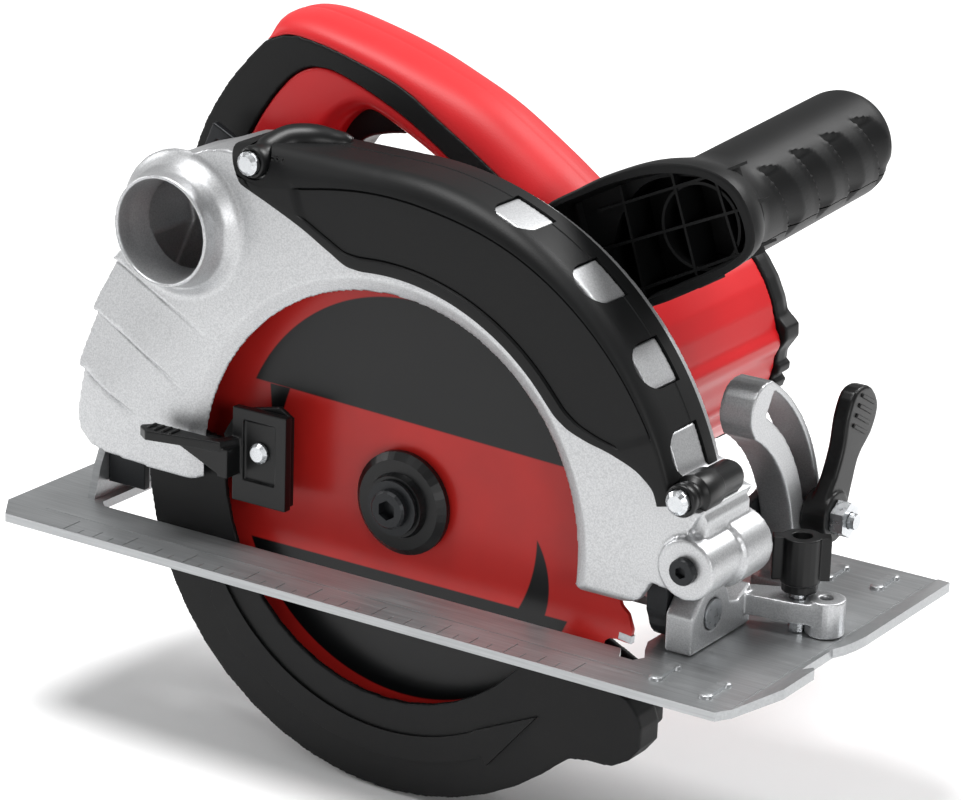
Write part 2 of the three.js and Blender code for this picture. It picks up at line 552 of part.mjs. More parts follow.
// The guard's nose stands out past the rim, so that it meets the work first; it narrows on the far side.
const noseLine = [
  [72.2, -41.1], [78.6, -39.9], [88.3, -39.4], [94.5, -35.8], [98.6, -30.6], [98.8, -24], [97.2, -19.5], [93.8, -15.3],
];
function nosePiece(inset, y0, y1) {
  const { radius, from, nose } = lowerGuard;
  const middle = new THREE.Vector2(84, -26);
  const line = noseLine.map(([x, z]) => {
    const out = new THREE.Vector2(x, z).sub(middle);
    return out.setLength(out.length() - inset).add(middle).toArray();
  });
  return slabY(outline([
    ...line, polar(...centre, radius - 9, from), polar(...centre, radius - 9, nose - 6),
    polar(...centre, radius - inset - 0.2, nose - 6),
  ]), y0, y1);
}
function lowerGuardPiece() {
  const { radius, inner, half, wall, from, nose, to } = lowerGuard;
  const hub = bearingBox.outer + 0.6;
  const near = slabY(sector(...centre, inner, radius, from, to - 360, 20), -half, -half + wall);
  const rim = slabY(sector(...centre, radius - wall, radius, nose, to - 360, 20), -half, half);
  const far = slabY(sector(...centre, hub, radius, from, to - 360, 20), half - wall, half);
  const hubRing = ringY(...centre, hub, hub + 4, half - wall - 1.2, half, 24);
  const bracket = slabY(outline([
    [-62, 18], [-40, 20], [-40, 51], [-45, 54], [-62, 50], [-68, 40],
  ]), -half, -half + wall);
  const lobe = union(nosePiece(0, -half, 0), nosePiece(5, -0.1, half));
  const lobeSpace = union(nosePiece(wall, -half + wall, 0), nosePiece(wall + 5, -0.1, half - wall),
    slabY(sector(...centre, inner, radius - wall - 1.6, from + 12, nose - 8, 6), -half + wall, half - wall));
  return cut(union(near, rim, far, hubRing, bracket, cut(lobe, lobeSpace)), rodY(...centre, hub, 0, half + 1, 24));
}

const leverPad = { rear: -92.5, front: -62, near: -29, far: -20.2, z: 38, thick: 3.4, web: 29 };
function guardLever() {
  const mount = box(-61.5, -39.5, -15.2, -lowerGuard.half - gap, 19, 52);
  const pad = slabZ(outline([
    [leverPad.rear + 5, leverPad.near], [leverPad.front + 1, leverPad.near + 6], [leverPad.front + 4, -15.2],
    [leverPad.front, -15.2], [leverPad.front - 2, leverPad.far], [leverPad.rear + 4, leverPad.far],
    [leverPad.rear, leverPad.far - 4], [leverPad.rear + 0.6, leverPad.near + 3],
  ]), leverPad.z, leverPad.z + leverPad.thick);
  const web = slabY(outline([[-84, leverPad.z + 1], [-60, leverPad.z + 1], [-60, leverPad.web]]), leverPad.far - 2.4, leverPad.far);
  const joinWeb = box(-62, -58, leverPad.far - 2.4, -15, leverPad.web, leverPad.z + 1);
  const recess = box(-57, -44, -16, -14, 27, 48);
  return cut(union(mount, pad, web, joinWeb), recess, rodY(-50.5, 37.5, 1.8 + gap, -30, 0, 12));
}

function guardLeverScrew() {
  const head = -14 - gap;
  return turnedY(-50.5, 37.5, [
    [0, head - 2.2], [2.6, head - 2.2], [3.6, head - 1], [3.6, head], [1.5, head], [1.5, -lowerGuard.half - gap / 2],
    [0, -lowerGuard.half - gap / 2],
  ], 16);
}

function guardSpring() {
  return ringY(...centre, bearingBox.outer + 5.4, bearingBox.outer + 7.4, lowerGuard.half - lowerGuard.wall - 3.2,
    lowerGuard.half - lowerGuard.wall - 0.8, 32);
}

// ---------------------------------------------------------------- motor
function bearingPlate() {
  const y0 = motor.start;
  const disc = rodY(motor.x, motor.z, motor.radius - 0.4, y0, y0 + 4, 40);
  const spindleSeat = rodY(...centre, 6, y0 - 4, y0 + 3, 20);
  return cut(disc, spindleSeat, rodY(motor.x, motor.z, 12.2, y0 - 1, y0 + 5, 28),
    box(-60, 60, y0 - 1, y0 + 5, -20, motor.z - motor.radius + 1));
}
function motorHousing() {
  const { x, z, radius, wall, start, edge } = motor;
  const near = start + 4 + gap;
  const shell = ringY(x, z, radius - wall, radius, near, edge, 36);
  const ledge = slabY(outline([
    polar(x, z, radius - 1, 12), polar(x, z, radius + 1.6, 4), polar(x, z, radius + 1.6, 0),
    polar(x, z, radius - 1, -8),
  ]), near + 10, edge);
  const ribs = [-20, -29].map((a) => slabY(outline([
    polar(x, z, radius - 1, a + 3), polar(x, z, radius + 1, a + 1.5), polar(x, z, radius + 1, a - 1.5),
    polar(x, z, radius - 1, a - 3),
  ]), edge - 45, edge - 2));
  return union(shell, ledge, ...ribs);
}
function motorEndCap() {
  const { x, z, radius, wall, edge, end } = motor;
  const cup = turnedY(x, z, [
    [0, end], [radius - 8, end], [radius - 1.5, end - 6], [radius + 0.6, end - 12], [radius + 0.6, edge + gap],
    [radius - wall, edge + gap], [radius - wall, end - 8], [radius - 10, end - wall], [11, end - wall],
    [11, end - 9.5], [9, end - 9.5], [9, end - wall], [0, end - wall],
  ], 36);
  const ledge = slabY(outline([
    polar(x, z, radius - 1, 16), polar(x, z, radius + 3.6, 8), polar(x, z, radius + 3.6, 3),
    polar(x, z, radius - 1, -6),
  ]), edge + gap, end - 8);
  const ribs = [-12, -20, -28].map((a) => slabY(outline([
    polar(x, z, radius - 1, a + 4), polar(x, z, radius + 2, a + 2.5), polar(x, z, radius + 2, a - 1.5),
    polar(x, z, radius - 1, a - 3),
  ]), edge + gap, end - 9));
  const slots = [60, 105, 150, 210].map((a) => slabY(
    sector(x, z, 18, 32, a - 7, a + 7, 3), end - wall - 1, end + 1));
  return cut(union(cup, ledge, ...ribs), ...slots);
}

const core = { near: 66, far: 112, radius: 24 };
function stator() {
  const { x, z, radius, wall } = motor;
  const stack = ringY(x, z, core.radius + 1, radius - wall - gap - 0.4, core.near, core.far, 24);
  const coils = [core.near - 6, core.far - 2].map((y) => ringY(x, z, core.radius + 4, radius - wall - 5, y, y + 8, 20));
  return union(stack, ...coils);
}
function armatureShaft() {
  const { x, z } = motor;
  const shaft = turnedY(x, z, [
    [0, gearPlace.near - 5], [3.6, gearPlace.near - 5], [3.6, gearPlace.near - 0.2],
    [3.6, gearPlace.near + gearWidth + 0.2], [5, gearPlace.near + gearWidth + 0.2], [5, 160], [0, 160],
  ], 20);
  const pinion = toothedWheel(ratio.pinion, x, z, 0, gearPlace.near, gearPlace.near + gearWidth,
    meshAngle + 180 + 180 / ratio.pinion);
  return union(shaft, pinion);
}
function armatureCore() {
  const { x, z } = motor;
  const stack = ringY(x, z, 5 + gap, core.radius, core.near + 1, core.far - 1, 24);
  const ends = [core.near - 6, core.far - 2].map((y) => ringY(x, z, 5 + gap, core.radius - 5, y, y + 8, 16));
  return union(stack, ...ends);
}
function commutator() {
  return ringY(motor.x, motor.z, 5 + gap, 12.5, core.far + 9, core.far + 25, 28);
}
function fan() {
  const { x, z, radius, wall } = motor;
  const hub = ringY(x, z, 5 + gap, radius - wall - 4, 53.2, 55, 32);
  const blades = Array.from({ length: 9 }, (_, i) => slabY(outline([
    polar(x, z, 14, i * 40 - 2), polar(x, z, radius - wall - 4.5, i * 40 + 8),
    polar(x, z, radius - wall - 4.5, i * 40 + 11), polar(x, z, 14, i * 40 + 4),
  ]), 54.8, 58.6));
  return union(hub, ringY(x, z, 5 + gap, 9, 54.8, 59, 20), ...blades);
}
function brush(side) {
  const { x, z } = motor;
  const near = 12.5 + gap;
  return side > 0
    ? box(x + near, x + near + 19, core.far + 13, core.far + 21, z - 3.5, z + 3.5)
    : box(x - near - 19, x - near, core.far + 13, core.far + 21, z - 3.5, z + 3.5);
}

// ---------------------------------------------------------------- main handle
// One loop in the XZ plane: a grip over a finger hole, with the rear post running down to the motor.
const gripTop = [
  [-85, 165.5], [-82, 171.5], [-76, 175], [-65, 174.2], [-41, 168.8], [-20, 162.3], [0, 154.5], [17.5, 144.4],
  [35.5, 132.6], [44, 125.4], [42, 119],
];
const gripLine = [
  [31, 118.5], [18, 128.5], [2, 139.3], [-14, 148.8], [-30, 157.8], [-54.6, 165.2], [-72, 168], [-80, 163],
];
const postRear = [[-100, 147], [-111, 132], [-118, 114], [-118, 78], [-106, 68], [-78, 62], [-40, 56]];
const fingerHole = [
  [-61, 120], [-57, 136], [-51, 143.6], [-44, 146], [-36, 143.6], [-16, 134.2], [2, 122.5], [14, 111.5], [8, 105],
  [-24, 96], [-42, 92], [-58, 100],
];
const linerLine = [
  [-92.7, 126.8], [-84.8, 140.3], [-73.4, 153.2], [-64.5, 158.4], [-57, 158], [-36.7, 151.4], [-20.5, 143.8],
  [-2, 131.5], [12, 120.5], [20, 113],
];

// The handle hugs the motor, so everything nearer to the armature than its housing is cut away.
const motorBody = () => rodY(motor.x, motor.z, motor.radius + 2.4, 0, 200, 48);
const halfSpace = (side) => (side === 'left'
  ? box(-200, 200, 0, handle.y - handle.skin / 2, 0, 300)
  : box(-200, 200, handle.y + handle.skin / 2, 200, 0, 300));
const handleSlab = (shape, narrower, round) => slabY(
  shape, handle.y - handle.half + narrower, handle.y + handle.half - narrower, { round, steps: 2 });
const loopShape = () => outline([...gripLine, ...postRear, [-28, 70], [6, 101], [20, 106], [26, 112]]);

function linerShape() {
  return outline([...linerLine, [14, 109], [6, 102], [-28, 90], [-70, 82], [-96, 96], [-100, 112]]);
}
const holeSpace = (shrink) => slabY(smooth(
  fingerHole.map(([x, z]) => [x + (x < -20 ? shrink : -shrink), z]), 40), 0, 100);

function handleHalf(side) {
  const loop = handleSlab(loopShape(), 0, 3);
  const hollow = slabY(outline([
    [-76, 158], [-60, 160], [-40, 154], [-58, 150], [-70, 140], [-76, 120], [-90, 122], [-84, 146],
  ]), handle.y - handle.half + handle.wall, handle.y + handle.half - handle.wall);
  return cut(loop.intersect(halfSpace(side)), handleSlab(linerShape(), -1, 0), motorBody(), hollow,
    lockOffSpace());
}
function gripHalf(side) {
  const pad = handleSlab(outline([...gripTop, ...gripLine.map(([x, z]) => [x + 0.2, z + gap])]), 0.4, 2);
  return cut(pad.intersect(halfSpace(side)), motorBody());
}
function linerHalf(side) {
  const body = handleSlab(linerShape(), 0.8, 1.4);
  const pocket = slabY(outline([
    [-90, 124], [-80, 140], [-66, 153], [-52, 151.6], [-42, 149.4], [-30, 145.4], [-30, 128], [-58, 118], [-66, 100],
    [-84, 100],
  ]), handle.y - handle.half + handle.wall, handle.y + handle.half - handle.wall);
  const inner = slabY(linerShape(), handle.y - handle.half - 1, handle.y + handle.half + 1);
  return cut(body.intersect(inner).intersect(halfSpace(side)), holeSpace(0), motorBody(), pocket, lockOffSpace());
}

const switchBox = { x0: -80, x1: -66, z0: 108, z1: 138, half: 9 };
function switchBody() {
  const { x0, x1, z0, z1, half } = switchBox;
  return box(x0, x1, handle.y - half, handle.y + half, z0, z1);
}
const triggerHalf = 6.5;
function triggerPiece() {
  return slabY(smooth([
    [-63, 142], [-58, 145.8], [-46, 145.8], [-34, 142.2], [-32.4, 139.2], [-40, 137.4], [-50, 134], [-55, 128],
    [-61, 124], [-64, 130],
  ], 30), handle.y - triggerHalf, handle.y + triggerHalf, { round: 1, steps: 1 });
}
const lockOff = { x: -48, z: 153.5, radius: 4.4, travel: 2.5, inside: 6 };
const lockOffSpace = () => rodY(
  lockOff.x, lockOff.z, lockOff.radius + gap, handle.y - lockOff.inside - lockOff.travel - gap, handle.y + handle.half + 5, 16);
function lockOffButton() {
  const out = handle.half + lockOff.travel + 0.8;
  return rodY(lockOff.x, lockOff.z, lockOff.radius, handle.y - lockOff.inside, handle.y + out, 16);
}
const glandPlace = { x: postRear[3][0], z: 89 };
function cordGland() {
  return solid(turned([
    [3.8, 0], [9, 0], [9, 6], [6.4, 8], [5.4, 22], [3.8, 22], [3.8, 0],
  ], 16).rotateZ(Math.PI / 2).translate(glandPlace.x - gap, handle.y, glandPlace.z));
}

// ---------------------------------------------------------------- front handle
const gripAxis = (y) => [frontGrip.x, frontGrip.z + frontGrip.rise * (y - frontGrip.near) / (frontGrip.far - frontGrip.near)];
// Sections across Y, each an ellipse, from the flared mouth to the rounded end.
function loft(sections, sides) {
  const rows = sections.map(({ y, rx, rz, dx = 0, dz = 0 }) => {
    const [x, z] = gripAxis(y);
    return Array.from({ length: sides }, (_, i) => {
      const a = i / sides * 2 * Math.PI;
      return [x + dx + rx * Math.cos(a), y, z + dz + rz * Math.sin(a)];
    });
  });
  const positions = rows.flat(2);
  const index = [];
  for (let r = 0; r < rows.length - 1; r += 1) {
    for (let i = 0; i < sides; i += 1) {
      const a = r * sides + i;
      const b = r * sides + (i + 1) % sides;
      index.push(a, b, a + sides, b, b + sides, a + sides);
    }
  }
  const last = (rows.length - 1) * sides;
  for (let i = 1; i < sides - 1; i += 1) {
    index.push(0, i + 1, i);
    index.push(last, last + i, last + i + 1);
  }
  const geometry = new THREE.BufferGeometry();
  geometry.setAttribute('position', new THREE.Float32BufferAttribute(positions, 3));
  geometry.setIndex(index);
  return solid(geometry);
}
function frontHandle(half) {
  const { near, waist, far, radius, mouthX, mouthZ } = frontGrip;
  const outside = loft([
    { y: near, rx: mouthX, rz: mouthZ, dz: 1 },
    { y: near + 4, rx: mouthX, rz: mouthZ, dz: 1 },
    { y: near + 16, rx: mouthX * 0.8, rz: mouthZ * 0.92 },
    { y: waist - 8, rx: radius + 2.4, rz: radius + 1.2 },
    { y: waist + 4, rx: radius - 0.6, rz: radius - 0.6 },
    { y: far - 22, rx: radius, rz: radius },
    { y: far - 8, rx: radius - 1.4, rz: radius - 1.4 },
    { y: far - 2.4, rx: radius - 6, rz: radius - 6 },
    { y: far, rx: radius - 12, rz: radius - 12 },
  ], 28);
  const bowl = loft([
    { y: near - 1, rx: mouthX - 4, rz: mouthZ - 4, dz: 1 },
    { y: near + 6, rx: mouthX - 6, rz: mouthZ - 5, dz: 1 },
    { y: near + 22, rx: radius - 2, rz: radius - 4 },
  ], 28);
  const seam = (y) => gripAxis(y)[1] - 8;
  const split = half === 'upper'
    ? outlineYZ([[0, seam(near) + handle.skin / 2], [far + 5, seam(far) + handle.skin / 2], [far + 5, 200], [0, 200]])
    : outlineYZ([[0, seam(near) - handle.skin / 2], [far + 5, seam(far) - handle.skin / 2], [far + 5, 0], [0, 0]]);
  const foot = box(48, 64, near + 6, waist + 6, 88, 116);
  const web = slabY(webOutline(0), near, near + webDepth);
  const hollow = slabY(webOutline(webWall), near - 1, near + webDepth / 2);
  const whole = half === 'lower' ? union(outside, web, foot) : union(outside, web);
  return cut(whole, bowl, hollow, motorBody(), handleSpace()).intersect(split);
}
const webDepth = 14;
const webWall = 3;
// The broad root of the front handle, which runs back and down to the motor; inset moves its edge inwards.
function webOutline(inset) {
  const { x, z, mouthX } = frontGrip;
  return outline([
    [x - 45 + inset, z + 2.5 - inset], [x - 21, z + 17.5 - inset], [x - 5, z + 23.5 - inset],
    [x + 13, z + 25.5 - inset], [x + 25 - inset, z + 20.5 - inset], [x + mouthX - 4 - inset, z + 10.5],
    [x + mouthX - 4 - inset, z + 1.5], [x + 20, z - 9 + inset], [x + 5, z - 18.5 + inset],
    [x - 6, z - 24.5 + inset], [x - 17, z - 33.5 + inset], [x - 27, z - 39.5 + inset],
    [x - 39, z - 32.5 + inset], [x - 49 + inset, z - 23.5], [x - 53 + inset, z - 9.5],
  ]);
}
const outlineYZ = (points) => slabX(outline(points), -50, 200);
const handleSpace = () => slabY(
  outline([[0, 60], [0, 160], [36, 140], [50, 126], [50, 92], [30, 60]]), handle.y - handle.half - 1, handle.y + handle.half + 1);

// ---------------------------------------------------------------- small pieces
function depthPivotScrew() {
  const head = pivot.near - gap;
  return cut(turnedY(pivot.x, pivot.z, [
    [0, head - 2.6], [4, head - 2.6], [4.4, head - 2], [4.4, head], [3, head], [3, pivot.far + 5], [0, pivot.far + 5],
  ], 20), rodY(pivot.x, pivot.z, 2, head - 4, head - 0.8, 6));
}
function depthBoltPiece() {
  const { x, z, shank } = depthBolt;
  const head = upperGuard.half - upperGuard.wall - gap;
  return union(rodY(x, z, shank, head - 1, 33, 16), rodY(x, z, 5.5, head - 3, head, 6));
}
const depthArm = { near: rearLink.guideFar + gap, far: 31 };
function depthLever() {
  const { x, z, shank } = depthBolt;
  const hub = rodY(x, z, 8, depthArm.near, depthArm.far, 20);
  const arm = slabY(smooth([
    [x, z - 7], [x + 14, z - 3], [x + 30, z - 1], [x + 38, z + 5], [x + 34, z + 13], [x + 20, z + 10], [x, z + 7],
  ], 22), depthArm.near + 2, depthArm.far - 1);
  return cut(union(hub, arm), rodY(x, z, shank + gap, 0, 40, 16));
}
const lockButton = { x: -14, y: 24, radius: 3.4, travel: 2.5 };
const lockButtonTop = motor.z + Math.sqrt(motor.radius ** 2 - (lockButton.x - motor.x) ** 2);
const buttonSpace = () => rodZ(lockButton.x, lockButton.y, lockButton.radius + gap, lockButtonTop - 12, lockButtonTop + 9, 16);
function spindleLock() {
  const { x, y, radius, travel } = lockButton;
  return rodZ(x, y, radius, lockButtonTop - 5, lockButtonTop + travel + 1.5, 16);
}

// ---------------------------------------------------------------- assembly
add('base_plate', basePlate(), zincSteel);
add('front_bracket', frontBracket(), castAluminium);
add('bevel_quadrant', bevelQuadrant(), castAluminium);
add('bevel_pin_front', rodX(bevel.y, bevel.z, bevel.pin, linkEar.rear - 1, block.front + 0.5, 20), brightSteel);
add('bevel_pin_rear', bevelPinRear(), brightSteel);
add('fence_knob', fenceKnob(), blackPlastic);
add('fence_stud', rodZ(fenceScrew.x, fenceScrew.y, fenceScrew.stud, plate.thick + gap, knob.top - 3, 12), brightSteel);

add('front_link', frontLink(), blackSteel);
add('rear_link', rearLinkPiece(), blackSteel);
add('bevel_bolt', bevelBolt(), brightSteel);
add('bevel_lever', bevelLever(), blackPlastic);
add('bevel_nut', bevelNut(), brightSteel);

add('upper_guard', upperGuardPiece(), castAluminium);
add('guard_cover', guardCover(), blackPlastic);
for (const s of coverScrews) {
  add(`cover_boss_${s.name}`, coverBoss(s), blackPlastic);
  add(`cover_screw_${s.name}`, coverScrew(s), brightSteel);
}
add('depth_pivot_screw', depthPivotScrew(), blackSteel);
add('depth_bolt', depthBoltPiece(), brightSteel);
add('depth_lever', depthLever(), blackPlastic);
add('spindle_lock_button', spindleLock(), blackPlastic);

add('bearing_box', bearingBoxPiece(), gearSteel);
add('spindle_bearing_front',
  ballBearing(...centre, bearing.inner, bearing.outer, bearing.near, bearing.near + bearing.width), brightSteel);
add('spindle_bearing_rear',
  ballBearing(...centre, 5 + gap, 9.6, gearPlace.near + gearWidth + 1 + gap, motor.start - gap), brightSteel);
add('spindle', spindlePiece(), gearSteel);
add('spindle_gear', toothedWheel(ratio.gear, ...centre, bearing.inner, gearPlace.near, gearPlace.near + gearWidth,
  meshAngle), gearSteel);
add('inner_flange', innerFlange(), blackSteel);
add('saw_blade', sawBlade(), bladePaint);
add('outer_flange', outerFlange(), blackSteel);
add('arbor_bolt', arborBolt(), blackSteel);

add('lower_guard', lowerGuardPiece(), blackPlastic);
add('guard_lever', guardLever(), blackPlastic);
add('guard_lever_screw', guardLeverScrew(), brightSteel);
add('guard_spring', guardSpring(), brightSteel);

add('bearing_plate', bearingPlate(), blackPlastic);
add('motor_housing', motorHousing(), redPlastic);
add('motor_end_cap', motorEndCap(), blackPlastic);
add('stator', stator(), laminations);
add('armature_shaft', armatureShaft(), gearSteel);
add('armature_core', armatureCore(), laminations);
add('commutator', commutator(), copper);
add('fan', fan(), blackPlastic);
add('armature_bearing_front', ballBearing(motor.x, motor.z, 5 + gap, 11.9, 46, 52.6), brightSteel);
add('armature_bearing_rear', ballBearing(motor.x, motor.z, 5 + gap, 8.7, motor.end - 10.5, motor.end - 4.5), brightSteel);
add('brush_front', brush(1), carbon);
add('brush_rear', brush(-1), carbon);

for (const side of ['left', 'right']) {
  add(`handle_${side}`, handleHalf(side), blackPlastic);
  add(`grip_${side}`, gripHalf(side), softRed);
  add(`handle_liner_${side}`, linerHalf(side), redPlastic);
}
add('switch', switchBody(), blackPlastic);
add('trigger', triggerPiece(), blackPlastic);
add('lock_off_button', lockOffButton(), blackPlastic);
add('cord_gland', cordGland(), blackPlastic);
add('front_handle_upper', frontHandle('upper'), blackPlastic);
add('front_handle_lower', frontHandle('lower'), blackPlastic);

export default group;
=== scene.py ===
# %% [markdown]
# # A circular saw
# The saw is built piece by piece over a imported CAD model, which gives every position. We load that
# model first. Its parts stay where they are: a part is either kept and given a finish, or hidden and
# replaced by a finer piece that takes its place from the hidden part's box.
# %% The frame
import json
import math

import bmesh
import bpy
from mathutils import Matrix, Vector


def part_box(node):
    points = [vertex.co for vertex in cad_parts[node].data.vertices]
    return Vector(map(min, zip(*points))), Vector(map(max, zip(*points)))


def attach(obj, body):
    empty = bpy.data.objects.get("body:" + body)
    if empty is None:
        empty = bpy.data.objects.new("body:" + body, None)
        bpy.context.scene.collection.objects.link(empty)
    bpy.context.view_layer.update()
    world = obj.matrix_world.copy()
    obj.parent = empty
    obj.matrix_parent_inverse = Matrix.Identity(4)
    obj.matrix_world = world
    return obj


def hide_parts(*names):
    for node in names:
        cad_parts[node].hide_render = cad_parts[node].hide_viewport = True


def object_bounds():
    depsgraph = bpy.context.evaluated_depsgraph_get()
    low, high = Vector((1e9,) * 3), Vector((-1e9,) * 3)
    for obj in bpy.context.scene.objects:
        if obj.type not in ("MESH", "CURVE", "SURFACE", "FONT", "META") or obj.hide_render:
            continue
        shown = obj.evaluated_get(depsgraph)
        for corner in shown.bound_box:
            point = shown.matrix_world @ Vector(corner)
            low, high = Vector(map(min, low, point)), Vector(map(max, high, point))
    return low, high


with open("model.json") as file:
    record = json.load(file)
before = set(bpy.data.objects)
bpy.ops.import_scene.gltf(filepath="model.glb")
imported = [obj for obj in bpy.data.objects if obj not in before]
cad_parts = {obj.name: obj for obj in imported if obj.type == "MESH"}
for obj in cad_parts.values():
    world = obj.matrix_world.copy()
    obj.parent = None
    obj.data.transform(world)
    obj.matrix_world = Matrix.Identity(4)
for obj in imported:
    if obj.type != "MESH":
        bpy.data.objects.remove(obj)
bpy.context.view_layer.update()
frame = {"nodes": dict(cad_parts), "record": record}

# %% [markdown]
# ## A drawing frame
# A saw is drawn most easily round its blade. We take the middle of the blade as X = 0, Y = 0 and the
# underside of the sole as Z = 0, work in millimetres, and turn to metres once, at the end of a piece.
# %% Drawing frame
blade_low, blade_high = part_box("saw_blade")
sole_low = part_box("base_plate")[0]
origin = Vector(((blade_low.x + blade_high.x) / 2, (blade_low.y + blade_high.y) / 2, sole_low.z))
to_metres = Matrix.Translation(origin) @ Matrix.Scale(0.001, 4)
arbor_z = ((blade_low.z + blade_high.z) / 2 - origin.z) * 1000
print("arbor", round(arbor_z, 2), "mm above the sole's underside")

# %% [markdown]
# ## Colours and nodes
# Colours are written as hex values, as a paint chart gives them. Light adds up on a linear scale, so
# one function turns a hex value to linear. Another adds a node with its settings and its links, so
# that a material reads as a short list from pattern to surface.
# %% Colour and node helpers
def linear(hex_value):
    parts = [int(hex_value[i:i + 2], 16) / 255 for i in (1, 3, 5)]
    return (*[c / 12.92 if c <= 0.04045 else ((c + 0.055) / 1.055) ** 2.4 for c in parts], 1)


def node(tree, kind, settings=None, **links):
    made = tree.nodes.new(kind)
    for key, value in (settings or {}).items():
        if key in made.bl_rna.properties.keys():
            setattr(made, key, value)
        else:
            made.inputs[key].default_value = value
    for key, source in links.items():
        spot = int(key[1:]) if key[0] == "i" and key[1:].isdigit() else key.replace("_", " ")
        tree.links.new(source, made.inputs[spot])
    return made


def new_material(name):
    material = bpy.data.materials.new(name)
    material.use_nodes = True
    material.node_tree.nodes.clear()
    return material, material.node_tree


def position(tree, stretch=(1, 1, 1)):
    """Points of the piece in millimetres times stretch, so that a scale of 1 repeats every millimetre."""
    place = node(tree, "ShaderNodeTexCoord")
    return node(tree, "ShaderNodeMapping", {"Scale": [1000 * s for s in stretch]},
                Vector=place.outputs["Object"]).outputs["Vector"]


def shade(tree, surface, height=None, depth_mm=0.1):
    """Closes a material: an optional bump of a real depth, then the output."""
    if height is not None:
        bump = node(tree, "ShaderNodeBump", {"Strength": 1.0, "Distance": depth_mm / 1000}, Height=height)
        tree.links.new(bump.outputs["Normal"], surface.inputs["Normal"])
    node(tree, "ShaderNodeOutputMaterial", Surface=surface.outputs[0])


# %% [markdown]
# ## Cast aluminium, shot-blasted
# The blade guard, the bracket and the quadrant are die castings. Blasting leaves a pale satin skin
# with a fine sparkle: grains about 0.5 mm across, drawn here a little coarser so that they show.
# %% Cast aluminium
def cast_aluminium(name, low, high, rough):
    material, tree = new_material(name)
    grain = node(tree, "ShaderNodeTexNoise", {"Scale": 1.8, "Detail": 3.0, "Roughness": 0.65},
                 Vector=position(tree))
    cloud = node(tree, "ShaderNodeTexNoise", {"Scale": 0.03, "Detail": 2.0}, Vector=position(tree))
    tone = node(tree, "ShaderNodeValToRGB", Fac=grain.outputs[0])
    tone.color_ramp.elements[0].position, tone.color_ramp.elements[0].color = 0.34, linear(low)
    tone.color_ramp.elements[1].position, tone.color_ramp.elements[1].color = 0.62, linear(high)
    soft = node(tree, "ShaderNodeMapRange", {"To Min": rough - 0.05, "To Max": rough + 0.08},
                Value=cloud.outputs[0])
    surface = node(tree, "ShaderNodeBsdfPrincipled", {"Metallic": 0.85},
                   Base_Color=tone.outputs[0], Roughness=soft.outputs[0])
    shade(tree, surface, grain.outputs[0], 0.022)
    return material


aluminium = cast_aluminium("cast_aluminium_blasted", "#acadaf", "#c4c5c6", 0.4)
gear_case_alloy = cast_aluminium("cast_aluminium_gear_case", "#9a9ca0", "#c9cbce", 0.5)

# %% [markdown]
# ## Moulded plastics
# The covers and handles are glass-filled nylon with a spark-eroded grain, which hides scratches. The
# grain is a bump about 0.03 mm deep; a slow change in roughness keeps a large face from looking flat.
# %% Moulded plastics
def moulded(name, colour, dark, rough, grain_mm, depth_mm, sheen=0.0, coat=0.0, glare=0.5):
    material, tree = new_material(name)
    grain = node(tree, "ShaderNodeTexNoise", {"Scale": 1 / grain_mm, "Detail": 2.0, "Roughness": 0.6},
                 Vector=position(tree))
    cloud = node(tree, "ShaderNodeTexNoise", {"Scale": 0.04, "Detail": 3.0}, Vector=position(tree))
    tone = node(tree, "ShaderNodeMix", {"data_type": "RGBA"}, Factor=cloud.outputs[0])
    tone.inputs[6].default_value = linear(dark)
    tone.inputs[7].default_value = linear(colour)
    soft = node(tree, "ShaderNodeMapRange", {"To Min": rough - 0.06, "To Max": rough + 0.08},
                Value=cloud.outputs[0])
    surface = node(tree, "ShaderNodeBsdfPrincipled",
                   {"IOR": 1.5, "Sheen Weight": sheen, "Sheen Roughness": 0.4, "Coat Weight": coat,
                    "Coat Roughness": 0.25, "Specular IOR Level": glare},
                   Base_Color=tone.outputs[2], Roughness=soft.outputs[0])
    shade(tree, surface, grain.outputs[0], depth_mm)
    return material


black_nylon = moulded("black_nylon_grained", "#0d0e0f", "#080808", 0.48, 0.55, 0.035, glare=0.22)
black_satin = moulded("black_nylon_satin", "#0b0c0d", "#070707", 0.36, 0.8, 0.015, glare=0.3)
red_nylon = moulded("red_nylon", "#c8161c", "#b51218", 0.36, 0.7, 0.015, coat=0.08, glare=0.35)
red_rubber = moulded("red_soft_grip", "#c6191f", "#b4141a", 0.48, 0.5, 0.04, sheen=0.12, glare=0.35)
black_rubber = moulded("black_rubber", "#1b1b1c", "#141415", 0.7, 0.6, 0.04)
carbon = moulded("pressed_carbon", "#2e2e30", "#222223", 0.7, 0.4, 0.05)

